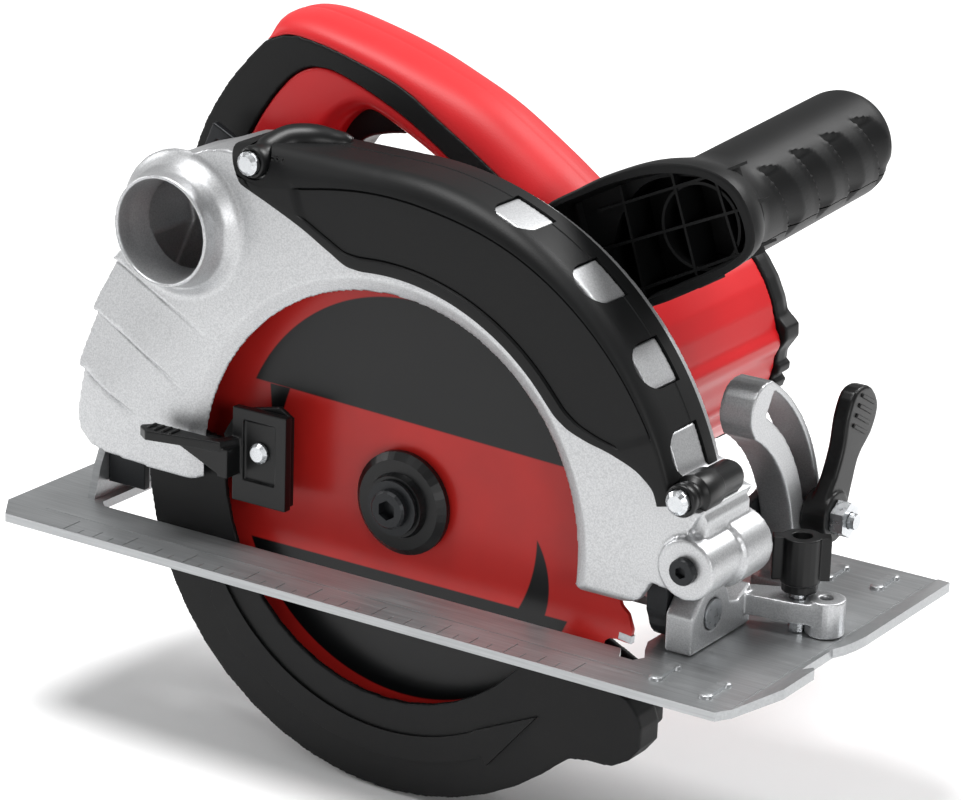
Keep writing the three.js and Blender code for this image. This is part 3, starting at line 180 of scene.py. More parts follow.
# %% [markdown]
# ## Steels
# The sole is pressed from zinc-plated sheet and rubbed bright along its length, so its roughness runs
# in long streaks. Screws and pins are turned, and the black ones are oiled black oxide.
# %% Steels
def steel(name, low, high, rough, stretch, scale_mm, depth_mm, metallic=1.0):
    material, tree = new_material(name)
    streak = node(tree, "ShaderNodeTexNoise", {"Scale": 1 / scale_mm, "Detail": 4.0, "Roughness": 0.6},
                  Vector=position(tree, stretch))
    cloud = node(tree, "ShaderNodeTexNoise", {"Scale": 0.025, "Detail": 3.0}, Vector=position(tree))
    tone = node(tree, "ShaderNodeMix", {"data_type": "RGBA"}, Factor=streak.outputs[0])
    tone.inputs[6].default_value = linear(low)
    tone.inputs[7].default_value = linear(high)
    both = node(tree, "ShaderNodeMath", {"operation": "ADD"}, i0=streak.outputs[0], i1=cloud.outputs[0])
    soft = node(tree, "ShaderNodeMapRange", {"From Min": 0.6, "From Max": 1.4, "To Min": rough - 0.08,
                "To Max": rough + 0.1}, Value=both.outputs[0])
    surface = node(tree, "ShaderNodeBsdfPrincipled", {"Metallic": metallic},
                   Base_Color=tone.outputs[2], Roughness=soft.outputs[0])
    shade(tree, surface, streak.outputs[0], depth_mm)
    return material


zinc_sheet = steel("zinc_plated_sheet", "#8b8d8f", "#bdbfc0", 0.38, (0.03, 1, 1), 0.8, 0.012, 0.8)
bright_steel = steel("bright_zinc_screws", "#aeb1b4", "#d4d6d8", 0.26, (1, 1, 1), 2.0, 0.01)
ground_steel = steel("ground_bearing_steel", "#b4b7ba", "#d0d3d6", 0.2, (1, 0.1, 1), 1.0, 0.005)
gear_steel = steel("machined_gear_steel", "#7b7e82", "#a3a6aa", 0.33, (1, 0.2, 1), 1.0, 0.01)
black_oxide = steel("black_oxide_steel", "#151617", "#25272a", 0.42, (1, 1, 1), 0.8, 0.02, 0.55)
laminations = steel("stacked_laminations", "#5a5d61", "#85898d", 0.45, (0.05, 1, 0.05), 0.5, 0.05)
copper = steel("turned_copper", "#9c5a2e", "#cd8450", 0.3, (1, 0.2, 1), 1.0, 0.01)

finishes = {
    "zinc_steel": zinc_sheet, "cast_aluminium": aluminium, "black_steel": black_oxide,
    "bright_steel": bright_steel, "bearing_steel": ground_steel, "gear_steel": gear_steel,
    "blade_paint": zinc_sheet, "black_plastic": black_nylon, "cast_housing": gear_case_alloy,
    "red_plastic": red_nylon, "soft_red": red_rubber, "black_rubber": black_rubber,
    "laminations": laminations, "copper": copper, "carbon": carbon,
}

# %% [markdown]
# ## Finishing the parts that keep their CAD shape
# Small screws, pins and inner parts keep their CAD shape. A real edge is never perfectly sharp, and its
# tiny round catches the light, so turned and pressed parts get a small bevel. Castings and mouldings are
# rounder: they are rebuilt from small cubes and relaxed, which melts their edges and flat facets.
# %% Edges and finishes of kept parts
slot_of = {row["node"]: row["material_slot"] for row in frame["record"]["subparts"]}
finish_of = {name: finishes[slot_of[name]] for name in frame["nodes"]}
finish_of.update(arbor_bolt=black_oxide, outer_flange=black_satin, bevel_lever=black_satin,
                 guard_lever=black_satin,
                 fence_knob=black_satin, lower_guard=black_nylon, trigger=black_satin,
                 cover_boss_front=black_satin,
                 cover_boss_rear=black_satin, depth_pivot_screw=black_oxide)
melted = {  # cube size in millimetres, relaxing passes
    "front_bracket": (0.45, 5), "bevel_quadrant": (0.5, 6), "bevel_lever": (0.4, 6), "fence_knob": (0.3, 3),
    "motor_housing": (0.8, 8), "motor_end_cap": (0.7, 4), "lower_guard": (0.5, 4), "guard_lever": (0.35, 3),
    "trigger": (0.5, 6), "depth_lever": (0.4, 5), "cord_gland": (0.5, 4),
    "lock_off_button": (0.3, 3), "spindle_lock_button": (0.3, 3), "front_link": (0.4, 3),
    "rear_link": (0.4, 3),
}
for name, part in frame["nodes"].items():
    part.data.materials.clear()
    part.data.materials.append(finish_of[name])
    if name in melted:
        cell, passes = melted[name]
        cubes = part.modifiers.new("cubes", "REMESH")
        cubes.mode, cubes.voxel_size, cubes.use_smooth_shade = "VOXEL", cell / 1000, True
        relax = part.modifiers.new("relax", "SMOOTH")
        relax.factor, relax.iterations = 0.5, passes
        part.modifiers.new("thin", "DECIMATE").ratio = 0.5
    else:
        merge = part.modifiers.new("merge_flats", "DECIMATE")
        merge.decimate_type, merge.angle_limit = "DISSOLVE", math.radians(0.5)
        edge = part.modifiers.new("edges", "BEVEL")
        edge.width, edge.segments, edge.limit_method = 0.0004, 2, "ANGLE"
        edge.angle_limit, edge.use_clamp_overlap = math.radians(35), True
        part.modifiers.new("flats", "WEIGHTED_NORMAL").keep_sharp = True
    part.data.shade_smooth()
print(len(frame["nodes"]), "parts have an edge and a finish")

# %% [markdown]
# ## Making a shape
# Nearly every piece here is one of three things: a flat outline given a thickness (`prism`), a
# profile turned about an axis (`turned`), or a skin drawn over a row of sections (`loft`). Several
# such solids may share one mesh. `carve` then cuts others out of it, and `melt` rebuilds it from
# small cubes and smooths it, which rounds every corner as a casting or moulding has them.
# %% Shape helpers
def put(axis, u, v, w):
    return {"X": (w, u, v), "Y": (u, w, v), "Z": (u, v, w)}[axis]


def arc(centre, radius, start, end, count):
    steps = [math.radians(start + (end - start) * i / count) for i in range(count + 1)]
    return [(centre[0] + radius * math.cos(a), centre[1] + radius * math.sin(a)) for a in steps]


def smooth_line(points, per, closed=True):
    """A line through the points without corners (Catmull-Rom)."""
    n, line = len(points), []
    for i in range(n if closed else n - 1):
        four = [points[k % n] if closed else points[max(0, min(n - 1, k))] for k in range(i - 1, i + 3)]
        for s in range(per):
            t = s / per
            line.append(tuple(0.5 * (2 * b + (c - a) * t + (2 * a - 5 * b + 4 * c - d) * t * t
                                     + (3 * b - a - 3 * c + d) * t ** 3) for a, b, c, d in zip(*four)))
    return line if closed else line + [points[-1]]


def loft(shape, rings, wrap=False):
    rows = [[shape.verts.new(point) for point in ring] for ring in rings]
    count = len(rows[0])
    for one, two in zip(rows, rows[1:] + (rows[:1] if wrap else [])):
        for i in range(count):
            shape.faces.new((one[i], one[(i + 1) % count], two[(i + 1) % count], two[i]))
    if not wrap:
        shape.faces.new(rows[0][::-1])
        shape.faces.new(rows[-1])
    return shape


def prism(shape, axis, outline, low, high):
    return loft(shape, [[put(axis, u, v, w) for u, v in outline] for w in (low, high)])


def block(shape, x, y, z):
    return prism(shape, "Z", [(x[0], y[0]), (x[1], y[0]), (x[1], y[1]), (x[0], y[1])], *z)


def turned(shape, axis, centre, profile, sides=48, wrap=False):
    last = 360 - 360 / sides
    return loft(shape, [[put(axis, u, v, h) for u, v in arc(centre, max(r, 0.01), 0, last, sides - 1)]
                        for r, h in profile], wrap)


def rod(shape, axis, centre, radius, low, high, sides=32):
    return turned(shape, axis, centre, [(radius, low), (radius, high)], sides)


def solid(name, *parts):
    """One object from parts, each a function call waiting to be run on a new mesh."""
    shape = bmesh.new()
    for build, *values in parts:
        build(shape, *values)
    bmesh.ops.recalc_face_normals(shape, faces=shape.faces)
    mesh = bpy.data.meshes.new(name)
    shape.to_mesh(mesh)
    shape.free()
    mesh.transform(to_metres)
    made = bpy.data.objects.new(name, mesh)
    bpy.context.scene.collection.objects.link(made)
    return made


def settle(thing):
    """Applies all modifiers."""
    bpy.context.view_layer.update()
    mesh = bpy.data.meshes.new_from_object(thing.evaluated_get(bpy.context.evaluated_depsgraph_get()))
    thing.modifiers.clear()
    thing.data = mesh
    return thing


def combine(thing, tool, operation):
    step = thing.modifiers.new("step", "BOOLEAN")
    step.operation, step.object, step.solver, step.use_self = operation, tool, "EXACT", True
    settle(thing)
    bpy.data.objects.remove(tool)
    return thing


def carve(thing, *parts):
    return combine(thing, solid("tool", *parts), "DIFFERENCE")


def melt(thing, cell, passes, keep=1.0):
    step = thing.modifiers.new("cubes", "REMESH")
    step.mode, step.voxel_size = "VOXEL", cell / 1000
    step = thing.modifiers.new("relax", "SMOOTH")
    step.factor, step.iterations = 0.5, passes
    if keep < 1:
        thing.modifiers.new("thin", "DECIMATE").ratio = keep
    return settle(thing)


def ready(thing, body, finish, *nodes, edge=0.0, segments=2):
    """Gives a piece its rounded edges and finish, and puts it on its body in place of CAD nodes."""
    if edge:
        merge = thing.modifiers.new("merge_flats", "DECIMATE")
        merge.decimate_type, merge.angle_limit = "DISSOLVE", math.radians(0.5)
        step = thing.modifiers.new("edges", "BEVEL")
        step.width, step.segments, step.limit_method = edge / 1000, segments, "ANGLE"
        step.angle_limit, step.use_clamp_overlap = math.radians(35), True
        thing.modifiers.new("flats", "WEIGHTED_NORMAL").keep_sharp = True
    thing.data.materials.clear()
    thing.data.materials.append(finish)
    thing.data.shade_smooth()
    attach(thing, body)
    if nodes:
        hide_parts(*nodes)
    print(thing.name, len(thing.data.polygons), "faces")
    return thing


hub = (0.0, arbor_z)


def polar(radius, degrees, centre=hub):
    return (centre[0] + radius * math.cos(math.radians(degrees)),
            centre[1] + radius * math.sin(math.radians(degrees)))


def sector(inner, outer, start, end, count=12, centre=hub):
    return arc(centre, outer, start, end, count) + arc(centre, inner, end, start, count)


def middle_of(name):
    """The middle of a CAD node's box, in the drawing frame."""
    first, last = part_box(name)
    return to_metres.inverted() @ ((first + last) / 2)


def axis_of(name):
    """Where a node that is turned about Y has its axis, as X and Z."""
    return middle_of(name).x, middle_of(name).z


motor_axis = axis_of("armature_shaft")
print("motor axis", [round(v, 1) for v in motor_axis])

# %% [markdown]
# ## Blade guard
# The upper guard is one die casting: a thick shell over the blade, a dust chute, the barrels of the
# depth pivot and the front of the gear case. We join plain solids that overlap, cut the space for the
# blade, the arch and the bores, and melt the result so that every corner is rounded like a casting's.
# %% Guard outline
rim, half, wall = 112.0, 16.6, 3  # rim radius, half width and wall, in millimetres
chute = (-82.0, 111.5)
guard_outline = (
    arc(hub, rim, 16, 96, 40) + [(-35, 139), (-50, 138.5), (-58, 139.4), (-65, 140), (-72, 138.8),
                                 (-82, 134.8)]
    + arc(chute, 22.5, 118, 200, 10)
    + [(-110, 93), (-115, 81.5), (-119, 70.5), (-122, 60), (-124.6, 48), (-126.6, 37), (-125.6, 30.5),
       (-121, 26),
       (-114, 24.2), (-92, 22.8), (-78, 22.6), (-71.5, 24), (-69.3, 28), (-70.4, 34)]
    + arc(hub, 71.5, 176, 150, 6) + [(-30, 50), (40, 40)] + arc(hub, 71.5, 0, -5, 1)
    + [(76, 19), (80, 17.8), (94, 19.8), (99, 22.6), (105, 33), (116, 50), (119, 56)]
)
pivot = axis_of("depth_pivot_screw")
guard = solid(
    "upper_guard_cast",
    (prism, "Y", guard_outline, -half, half),
    (turned, "Y", chute, [(20, -5), (25.5, -half + 0.6), (23.2, -half - 1.2), (20.6, -half - 4),
                          (19.2, -half - 7.5),
                          (18.9, -half - 12.5)], 64),
    (rod, "Y", pivot, 10, -19, 0, 48),
    (rod, "Y", pivot, 11.5, 0, half, 48),
    (prism, "Y", [(97, 34), (112, 31), (119.5, 42), (120, 52), (116, 60), (110, 64), (100, 66)], -half + 3,
     half - 3),
    (prism, "Y", [(96, 30), (110, 28), (116, 46), (109, 60), (98, 62)], -half - 0.2, half - 1),
    (prism, "Y", arc(motor_axis, 45, 0, 350, 35), half - 0.5, 45),
    (rod, "Y", hub, 27.7, half - 3, 45, 48),
)
print("joined", len(guard.data.polygons))

# %% [markdown]
# The arch is the opening that shows the blade. Its edge leans inwards, so it is cut with a cone. The
# four pads on the rim fill the windows of the black cover, and a chamfer under the front foot keeps it
# off the sole when the saw is tilted.
# %% Guard cuts
cavity = (arc(hub, 104.5, -6, 105, 36) + [(-38, 137), (-62, 138.6), (-82, 130.5)]
          + arc(chute, 20, 118, 205, 8)
          + [(-112, 76), (-119.8, 54), (-123, 36), (-121, 28), (-116, 20), (-110, 0), (60, 0), (96, 14)])
carve(
    guard,
    (prism, "Y", cavity, -half + wall, half - wall),
    (turned, "Y", hub, [(84.0, -half - 4.2), (79.0, -half), (76.0, -half + 1.6), (73.2, -half + 3.2),
                        (72.5, -half + 4.2)], 96),
    (prism, "Y", [(-79.5, 37), (-70, 31), (-66.5, 24), (-72, 5), (60, 5), (75, 17.6), (60, 40)], -half - 3,
     -half + 3.5),
)
carve(
    guard,
    (turned, "Y", chute, [(17.8, -half - 14), (17.2, -half - 6), (16.0, -half), (14.6, -half + 6),
                          (13.4, -half + 14)], 64),
    (block, (102, 119.5), (-5.9, 11.7), (5, 47)),
    (rod, "Y", pivot, 9, -5.9, 11.7, 32),
    (prism, "Y", [(88, 5), (88, 36), (106, 46), (112, 40), (118, 5)], -5.9, 11.7),
    (rod, "Y", hub, 26, half, 46, 48),
    (rod, "Y", motor_axis, 42, half + 4, 46, 48),
    (rod, "Y", hub, 20.4, 5, half + 2, 48),
    (block, (88, 104), (half - 4, half + 1), (0, 26)),
    (prism, "X", [(-40, -10), (-40, 45.4), (15.4, -10)], 60, 110),
    (rod, "Y", pivot, 3.3, -30, 30, 24),
)
window_angles = (68, 51.5, 36, 21.5)
for angle in window_angles:
    combine(guard, solid("pad", (prism, "Y", sector(rim - 4, rim + 3.0, angle - 3.8, angle + 3.8, 8), -13.2,
                                 3.4)), "UNION")
melt(guard, 0.7, 4)
print("melted", len(guard.data.vertices))

# %% [markdown]
# The rear of the guard has three shallow steps, like roof tiles, that run down towards the rear edge.
# Each is a small outward move of the skin that is largest just above its line and fades downhill.
# %% Tile steps
steps = [((-108.6, 94.6), (-70.6, 74.2)), ((-116, 75), (-79.6, 53.4)), ((-122.5, 54), (-99.4, 39.2))]
inverse = to_metres.inverted()
side_lift, rear_lift, groove_depth = 0.0019, 0.0016, 0.0005  # metres
for vertex in guard.data.vertices:
    x, y, z = inverse @ vertex.co
    if x > -60 or z > 126 or y > 14 or z < 34:
        continue
    lift, groove = 0.0, 0.0
    for (x0, z0), (x1, z1) in steps:
        length = math.hypot(x1 - x0, z1 - z0)
        ux, uz = (x1 - x0) / length, (z1 - z0) / length
        along, above = (x - x0) * ux + (z - z0) * uz, (x - x0) * -uz + (z - z0) * ux
        fade = max(0.0, min(1.0, (length - along) / (length * 0.5)))
        if -0.9 < above < 20 and along < length:
            lift = max(lift, fade * min(1, (above + 0.2) / 0.5) * (1 - max(0, above) / 20) ** 1.2)
            if -0.9 < above < 0 and along < length * 0.9:
                groove = max(groove, fade)
    if groove and y < -half + 1.5:
        vertex.co.y += groove_depth * groove
    if lift and math.hypot(x - chute[0], z - chute[1]) > 21:
        if y < -half + 2.6:
            vertex.co.y -= side_lift * lift
        if x < -104 and y < half - 2:
            vertex.co.x -= rear_lift * lift * min(1, (-104 - x) / 6)
thin = guard.modifiers.new("thin", "DECIMATE")
thin.ratio = 0.4
settle(guard)
ready(guard, "saw_body", aluminium, "upper_guard")

# %% [markdown]
# ## Black cover
# A nylon skin clips over the rim of the guard. Its section hardly changes round the arc: a near face
# with a recessed panel, a rounded shoulder, and the rim. So we draw that section at many angles and
# loft it, and let its inner edge climb at both ends, where the cover comes to a point.
# %% Cover section
near = -19.4


def ease(low, high, value):
    t = max(0.0, min(1.0, (value - low) / (high - low)))
    return t * t * (3 - 2 * t)


def between(points, value):
    """A smooth curve through (value, result) points, flat where its neighbours are level."""
    if value <= points[0][0] or value >= points[-1][0]:
        return points[0][1] if value <= points[0][0] else points[-1][1]
    k = max(i for i in range(len(points) - 1) if points[i][0] <= value)
    (x0, y0), (x1, y1) = points[k], points[k + 1]

    def slope(i):
        if i in (0, len(points) - 1):
            return 0.0
        before = (points[i][1] - points[i - 1][1]) / (points[i][0] - points[i - 1][0])
        after = (points[i + 1][1] - points[i][1]) / (points[i + 1][0] - points[i][0])
        return 0.0 if before * after <= 0 else 2 * before * after / (before + after)

    t, span = (value - x0) / (x1 - x0), x1 - x0
    return (y0 * (2 * t ** 3 - 3 * t * t + 1) + slope(k) * span * (t ** 3 - 2 * t * t + t)
            + y1 * (3 * t * t - 2 * t ** 3) + slope(k + 1) * span * (t ** 3 - t * t))


def cover_inner(angle):
    points = [(14, 108), (16.5, 107.8), (20, 104.6), (24.7, 96.4), (29, 88.3), (33, 83.6), (37, 81.7),
              (41, 81.4), (90, 81.4),
              (95, 81.4), (99, 82.4), (104, 88), (109, 96), (113, 103), (116, 109), (118.5, 114.6),
              (121, 121)]
    return between(points, angle)


def cover_rim(angle):
    if angle > 92:
        return min(115.5 / math.sin(math.radians(angle)),
                   115.5 / math.sin(math.radians(92)) + (angle - 92) * 0.52)
    return 115.5


def panel_top(angle):
    points = [(17, 113.4), (30, 112.4), (62, 110.0), (82, 108.2), (96, 108.6), (105, 109.4), (115, 113.4),
              (122, 122)]
    return between(points, angle)


def cover_ring(angle):
    inner, outer = cover_inner(angle), cover_rim(angle)
    outer = max(outer, inner + 4)
    low, top = inner + 4.2, min(panel_top(angle), outer - 2.4)
    sunk = 0.8 * ease(25, 26.5, angle) * (1 - ease(108, 109.5, angle))
    step = min(0.5, max(0.0, (top - low) / 4))
    line = [
        (inner, -16.95), (inner, near + 1.2), (inner + 0.35, near + 0.35), (inner + 1.2, near), (low, near),
        (low + step, near + sunk * 1.7), (low + 2 * step, near + sunk), (top - 2 * step, near + sunk),
        (top - step, near + sunk * 1.7), (top, near + 0.1),
    ]
    reach = outer - top
    line += [(top + reach * math.sin(a), near + 0.1 + 7.5 * (1 - math.cos(a))) for a in
             [math.radians(d) for d in range(12, 91, 13)]]
    line += [(outer, -6), (outer, 0.1), (outer - 0.35, 0.35), (outer - 0.35, 0.85), (outer, 1.1), (outer, 9),
             (outer - 0.6, 9.9), (outer - 2.6, 9.9), (outer - 3.0, 9.5), (outer - 3.0, -16.6),
             (outer - 3.4, -16.95)]
    return [(*polar(r, angle), y) for r, y in line]


angles = [14.6 + i * 0.6 for i in range(int((119.5 - 14.6) / 0.6) + 1)]
cover_rings = [[(x, y, z) for x, z, y in cover_ring(a)] for a in angles]
cover = solid("guard_cover_shell", (loft, cover_rings))
print("cover", len(cover.data.polygons))

# %% [markdown]
# Four windows in the rim show the bright pads of the guard. Each has a round near end and a square far
# end, and a shallow scoop leads into it.
# %% Cover windows
half_width = 7.9
round_angles = [math.radians(180 - 15 * k) for k in range(1, 12)]
for angle in window_angles:
    centre_x, centre_z = polar(rim + 2, angle)
    tilt = math.radians(angle)
    flat = [(-half_width, 3.8), (-half_width, -7)] + [
        (half_width * math.cos(a), -7 - 8.2 * math.sin(a)) for a in round_angles
    ] + [(half_width, -7), (half_width, 3.8)]
    rings = []
    for radius, grow in ((-8, 0.0), (2.3, 0.0), (5, 1.6)):
        ring = []
        for u, v in flat:
            u, v = u * (1 + grow / half_width), v - (grow if v < 3 else -grow * 0.3)
            ring.append((centre_x + math.cos(tilt) * radius - math.sin(tilt) * u, v,
                         centre_z + math.sin(tilt) * radius + math.cos(tilt) * u))
        rings.append(ring)
    combine(cover, solid("window", (loft, rings)), "DIFFERENCE")
screw_room = 6.1
carve(cover, *[(rod, "Y", axis_of(name), screw_room, -40, 20, 32)
               for name in ("cover_screw_front", "cover_screw_rear")])
cover.modifiers.new("flats", "WEIGHTED_NORMAL").keep_sharp = True
ready(cover, "saw_body", black_nylon, "guard_cover")
cover.data.set_sharp_from_angle(angle=math.radians(38))

# %% [markdown]
# ## Blade
# A 185 mm rip blade has 24 teeth, each a swept gullet with a small carbide tip brazed to its front. The
# disc is printed in satin red and black. The print is worked out from the place on the disc: a black
# cap above a slanting line, a thin black band low down, and two black sickles that bound the red field.
# %% Blade print
def blade_print():
    material, tree = new_material("printed_blade_enamel")
    place = node(tree, "ShaderNodeTexCoord").outputs["Object"]
    shift = node(tree, "ShaderNodeVectorMath", {"operation": "SUBTRACT"}, i0=place)
    shift.inputs[1].default_value = to_metres @ Vector((0, 0, arbor_z))
    apart = node(tree, "ShaderNodeSeparateXYZ", Vector=node(
        tree, "ShaderNodeVectorMath", {"operation": "SCALE", "Scale": 1000.0},
        i0=shift.outputs[0]).outputs[0])

    def line(ax, az, offset, soft=0.25):
        """1 where ax * X + az * Z is over the offset, in millimetres."""
        first = node(tree, "ShaderNodeMath", {"operation": "MULTIPLY"}, i0=apart.outputs[0])
        first.inputs[1].default_value = ax
        total = node(tree, "ShaderNodeMath", {"operation": "MULTIPLY_ADD"}, i0=apart.outputs[2],
                     i2=first.outputs[0])
        total.inputs[1].default_value = az
        return node(tree, "ShaderNodeMapRange", {"From Min": offset - soft, "From Max": offset + soft},
                    Value=total.outputs[0]).outputs[0]

    def disc(cx, cz, radius, soft=0.25):
        """1 inside a circle on the disc."""
        gone = node(tree, "ShaderNodeVectorMath", {"operation": "SUBTRACT"}, i0=node(
            tree, "ShaderNodeCombineXYZ", X=apart.outputs[0], Z=apart.outputs[2]).outputs[0])
        gone.inputs[1].default_value = (cx, 0, cz)
        far = node(tree, "ShaderNodeVectorMath", {"operation": "LENGTH"}, i0=gone.outputs[0])
        return node(tree, "ShaderNodeMapRange", {"From Min": radius - soft, "From Max": radius + soft,
                                                 "To Min": 1.0,
                    "To Max": 0.0}, Value=far.outputs["Value"]).outputs[0]

    def join(operation, one, two):
        return node(tree, "ShaderNodeMath", {"operation": operation}, i0=one, i1=two).outputs[0]

    inside = disc(0, 0, 69.0)
    cap = join("MULTIPLY", line(0.035, 1.0, 27.2), inside)
    low_field = join("MULTIPLY", line(0.0, -1.0, 27.1), disc(0, 0, 69.0))
    right = join("MULTIPLY", join("SUBTRACT", disc(25.9, -18.9, 30.1), disc(0, -3, 50.7)),
                 join("MULTIPLY", line(0.0, -1.0, 1.0), line(1.0, 0.0, 40)))
    left = join("MULTIPLY", join("SUBTRACT", line(1.0, 0.08, -54.1), disc(26.5, 0, 80)),
                join("MULTIPLY", line(0.0, -1.0, -29.0), join("MULTIPLY", line(-1.0, 0.0, 44),
                    line(0.0, 1.0, 2.0))))
    black = join("MAXIMUM", join("MAXIMUM", cap, low_field), join("MAXIMUM", left, right))
    cloud = node(tree, "ShaderNodeTexNoise", {"Scale": 0.03, "Detail": 3.0}, Vector=position(tree))
    red = node(tree, "ShaderNodeMix", {"data_type": "RGBA"}, Factor=cloud.outputs[0])
    red.inputs[6].default_value, red.inputs[7].default_value = linear("#8e1a18"), linear("#b8241f")
    ink = node(tree, "ShaderNodeMix", {"data_type": "RGBA"}, Factor=black)
    tree.links.new(red.outputs[2], ink.inputs[6])
    ink.inputs[7].default_value = linear("#0b0c0d")
    grind = node(tree, "ShaderNodeTexNoise", {"Scale": 1.2, "Detail": 3.0}, Vector=position(tree))
    soft = node(tree, "ShaderNodeMapRange", {"To Min": 0.26, "To Max": 0.38}, Value=cloud.outputs[0])
    surface = node(tree, "ShaderNodeBsdfPrincipled", {"Specular IOR Level": 0.25, "Coat Weight": 0.08,
                   "Coat Roughness": 0.2},
                   Base_Color=ink.outputs[2], Roughness=soft.outputs[0])
    shade(tree, surface, grind.outputs[0], 0.004)
    return material


blade_finish = blade_print()

# %% [markdown]
# The disc is one closed line of 24 gullets with a thickness and a bore. The tips are small prisms of
# carbide, a little wider than the disc, since they cut the room that the disc runs in.
# %% Blade disc and tips
teeth, tip_radius, gullet, rake = 24, 92.3, 9.0, -18.4
edge_line, tips = [], []
for k in range(teeth):
    a = rake + k * 360 / teeth
    edge_line += [polar(tip_radius - 0.5, a), polar(tip_radius - 1.3, a + 3.0),
                  polar(tip_radius - 4.2, a + 5.8),
                  polar(tip_radius - 7.4, a + 7.0), polar(tip_radius - gullet, a + 9.0),
                  polar(tip_radius - gullet - 0.4, a + 11.6), polar(tip_radius - gullet + 1.2, a + 13.4),
                  polar(tip_radius - 5.5, a + 14.2), polar(tip_radius - 2.8, a + 14.6)]
    tips.append([polar(tip_radius, a + 0.1), polar(tip_radius - 0.6, a + 1.8),
                 polar(tip_radius - 5.4, a + 1.2),
                 polar(tip_radius - 5.0, a - 0.45)])
disc = solid("blade_disc", (prism, "Y", edge_line, -0.95, 0.95))
carve(disc, (rod, "Y", hub, 8, -5, 5, 48))
ready(disc, "blade_assembly", blade_finish, "saw_blade", edge=0.12, segments=1)
carbide = steel("carbide_tips", "#8b8e91", "#b9bcbf", 0.3, (1, 1, 1), 0.8, 0.01)
tip_piece = solid("blade_tips", *[(prism, "Y", tip, -0.99, 0.99) for tip in tips])
ready(tip_piece, "blade_assembly", carbide, edge=0.1, segments=1)

# %% [markdown]
# ## Marks on the sole
# The sole is pressed from 3 mm sheet. A scale in inches runs along its near edge, a line is scribed
# beside it, and four small loops are pressed up to guide a rip fence. We copy the CAD sheet, cut the
# marks a fraction of a millimetre deep and add the loops.
# %% Sole
def copy_of(name, new_name):
    made = bpy.data.objects.new(new_name, frame["nodes"][name].data.copy())
    bpy.context.scene.collection.objects.link(made)
    return made


sole = copy_of("base_plate", "sole_sheet")
sheet_top = 3.0
inch = 25.4
near_edge = (inverse @ sole_low).y
marks = []
for k in range(0, 33):
    x = -114.55 + k * inch / 4
    long = 9.65 if k % 4 == 0 else (6.2 if k % 2 == 0 else 4.2)
    marks.append((block, (x - 0.22, x + 0.22), (near_edge + 0.8, near_edge + long),
                  (sheet_top - 0.22, sheet_top + 1)))
marks.append((block, (-132, 118), (near_edge + 12.4, near_edge + 12.75), (sheet_top - 0.15, sheet_top + 1)))
marks.append((block, (143.0, 143.3), (-34, 96), (sheet_top - 0.15, sheet_top + 1)))
carve(sole, *marks)
loops = []
for x, y in ((112.7, -22.3), (132.3, -25.1), (113.9, 87.0), (131.5, 89.3)):
    for end in (-1, 1):
        loops.append((turned, "Z", (x, y + end * 5.6), [(2.5, sheet_top - 0.5), (2.2, sheet_top + 1.0),
                                                        (1.2, sheet_top + 1.6)], 24))
    loops.append((block, (x - 1.5, x + 1.5), (y - 5.6, y + 5.6), (sheet_top - 0.5, sheet_top + 1.3)))
combine(sole, solid("loops", *loops), "UNION")
ready(sole, "base", zinc_sheet, "base_plate", edge=0.25, segments=2)

# %% [markdown]
# ## Front handle
# The front handle is a hollow nylon moulding: a round grip that widens into a broad root with an open,
# ribbed face. Each section is a closed curve round one axis, so a `loft` can pass from the root's
# outline to the grip's circle. The finger grooves are crescents, sharp on the near side and
# fading on the far side, made by drawing the points inwards.
# %% Front handle sections
grip_end = (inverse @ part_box("front_handle_upper")[1]).y
mouth = smooth_line([(27, 119), (35, 130.4), (47, 138.4), (58, 145), (74, 151.6), (92, 153.6),
                     (104.4, 149.4), (111.4, 139),
                     (111.2, 129), (99.4, 118.6), (84, 109), (73, 103), (62, 94.4), (52, 88.6), (40, 96),
                     (30, 105)], 6)


def grip_axis(y):
    return 79, 127.5 + 7.5 * (y - 20) / 127


def reach_of(outline, centre, angle):
    """How far the outline is from the centre in one direction."""
    dx, dz = math.cos(angle), math.sin(angle)
    best = 0.0
    for (x0, z0), (x1, z1) in zip(outline, outline[1:] + outline[:1]):
        ex, ez = x1 - x0, z1 - z0
        across = dx * ez - dz * ex
        if abs(across) < 1e-9:
            continue
        t = ((x0 - centre[0]) * ez - (z0 - centre[1]) * ex) / across
        s = ((x0 - centre[0]) * dz - (z0 - centre[1]) * dx) / across
        if t > 0 and -1e-6 <= s <= 1 + 1e-6:
            best = max(best, t)
    return best


sides = 144
mouth_reach = [reach_of(mouth, grip_axis(20), 2 * math.pi * i / sides) for i in range(sides)]
grip_size, end_round = 18.8, 9
grooves = (59.0, 80.0, 100.4, 121.4)  # where each finger groove starts along the grip


def grip_radius(y, angle):
    radius = grip_size
    tail = grip_end - y
    if tail < end_round:
        radius = grip_size - end_round + math.sqrt(max(0.0, end_round ** 2 - (end_round - tail) ** 2))
    degrees = math.degrees(angle)
    for start in grooves:
        turn = (56 - degrees + 180) % 360 - 180
        if -100 < -turn < 60 and -2 < turn < 100:
            along = ease(-2, 14, turn) * (1 - ease(72, 100, turn))
            offset = y - (start + 0.16 * turn)
            width = 11.0 * along + 0.1
            if 0 < offset < width:
                radius -= 3.0 * along * ease(0, 1.6, offset) * (1 - (offset / width) ** 1.3)
            elif -3 < offset <= 0:
                radius += 0.5 * along * (1 + offset / 3)
    return radius


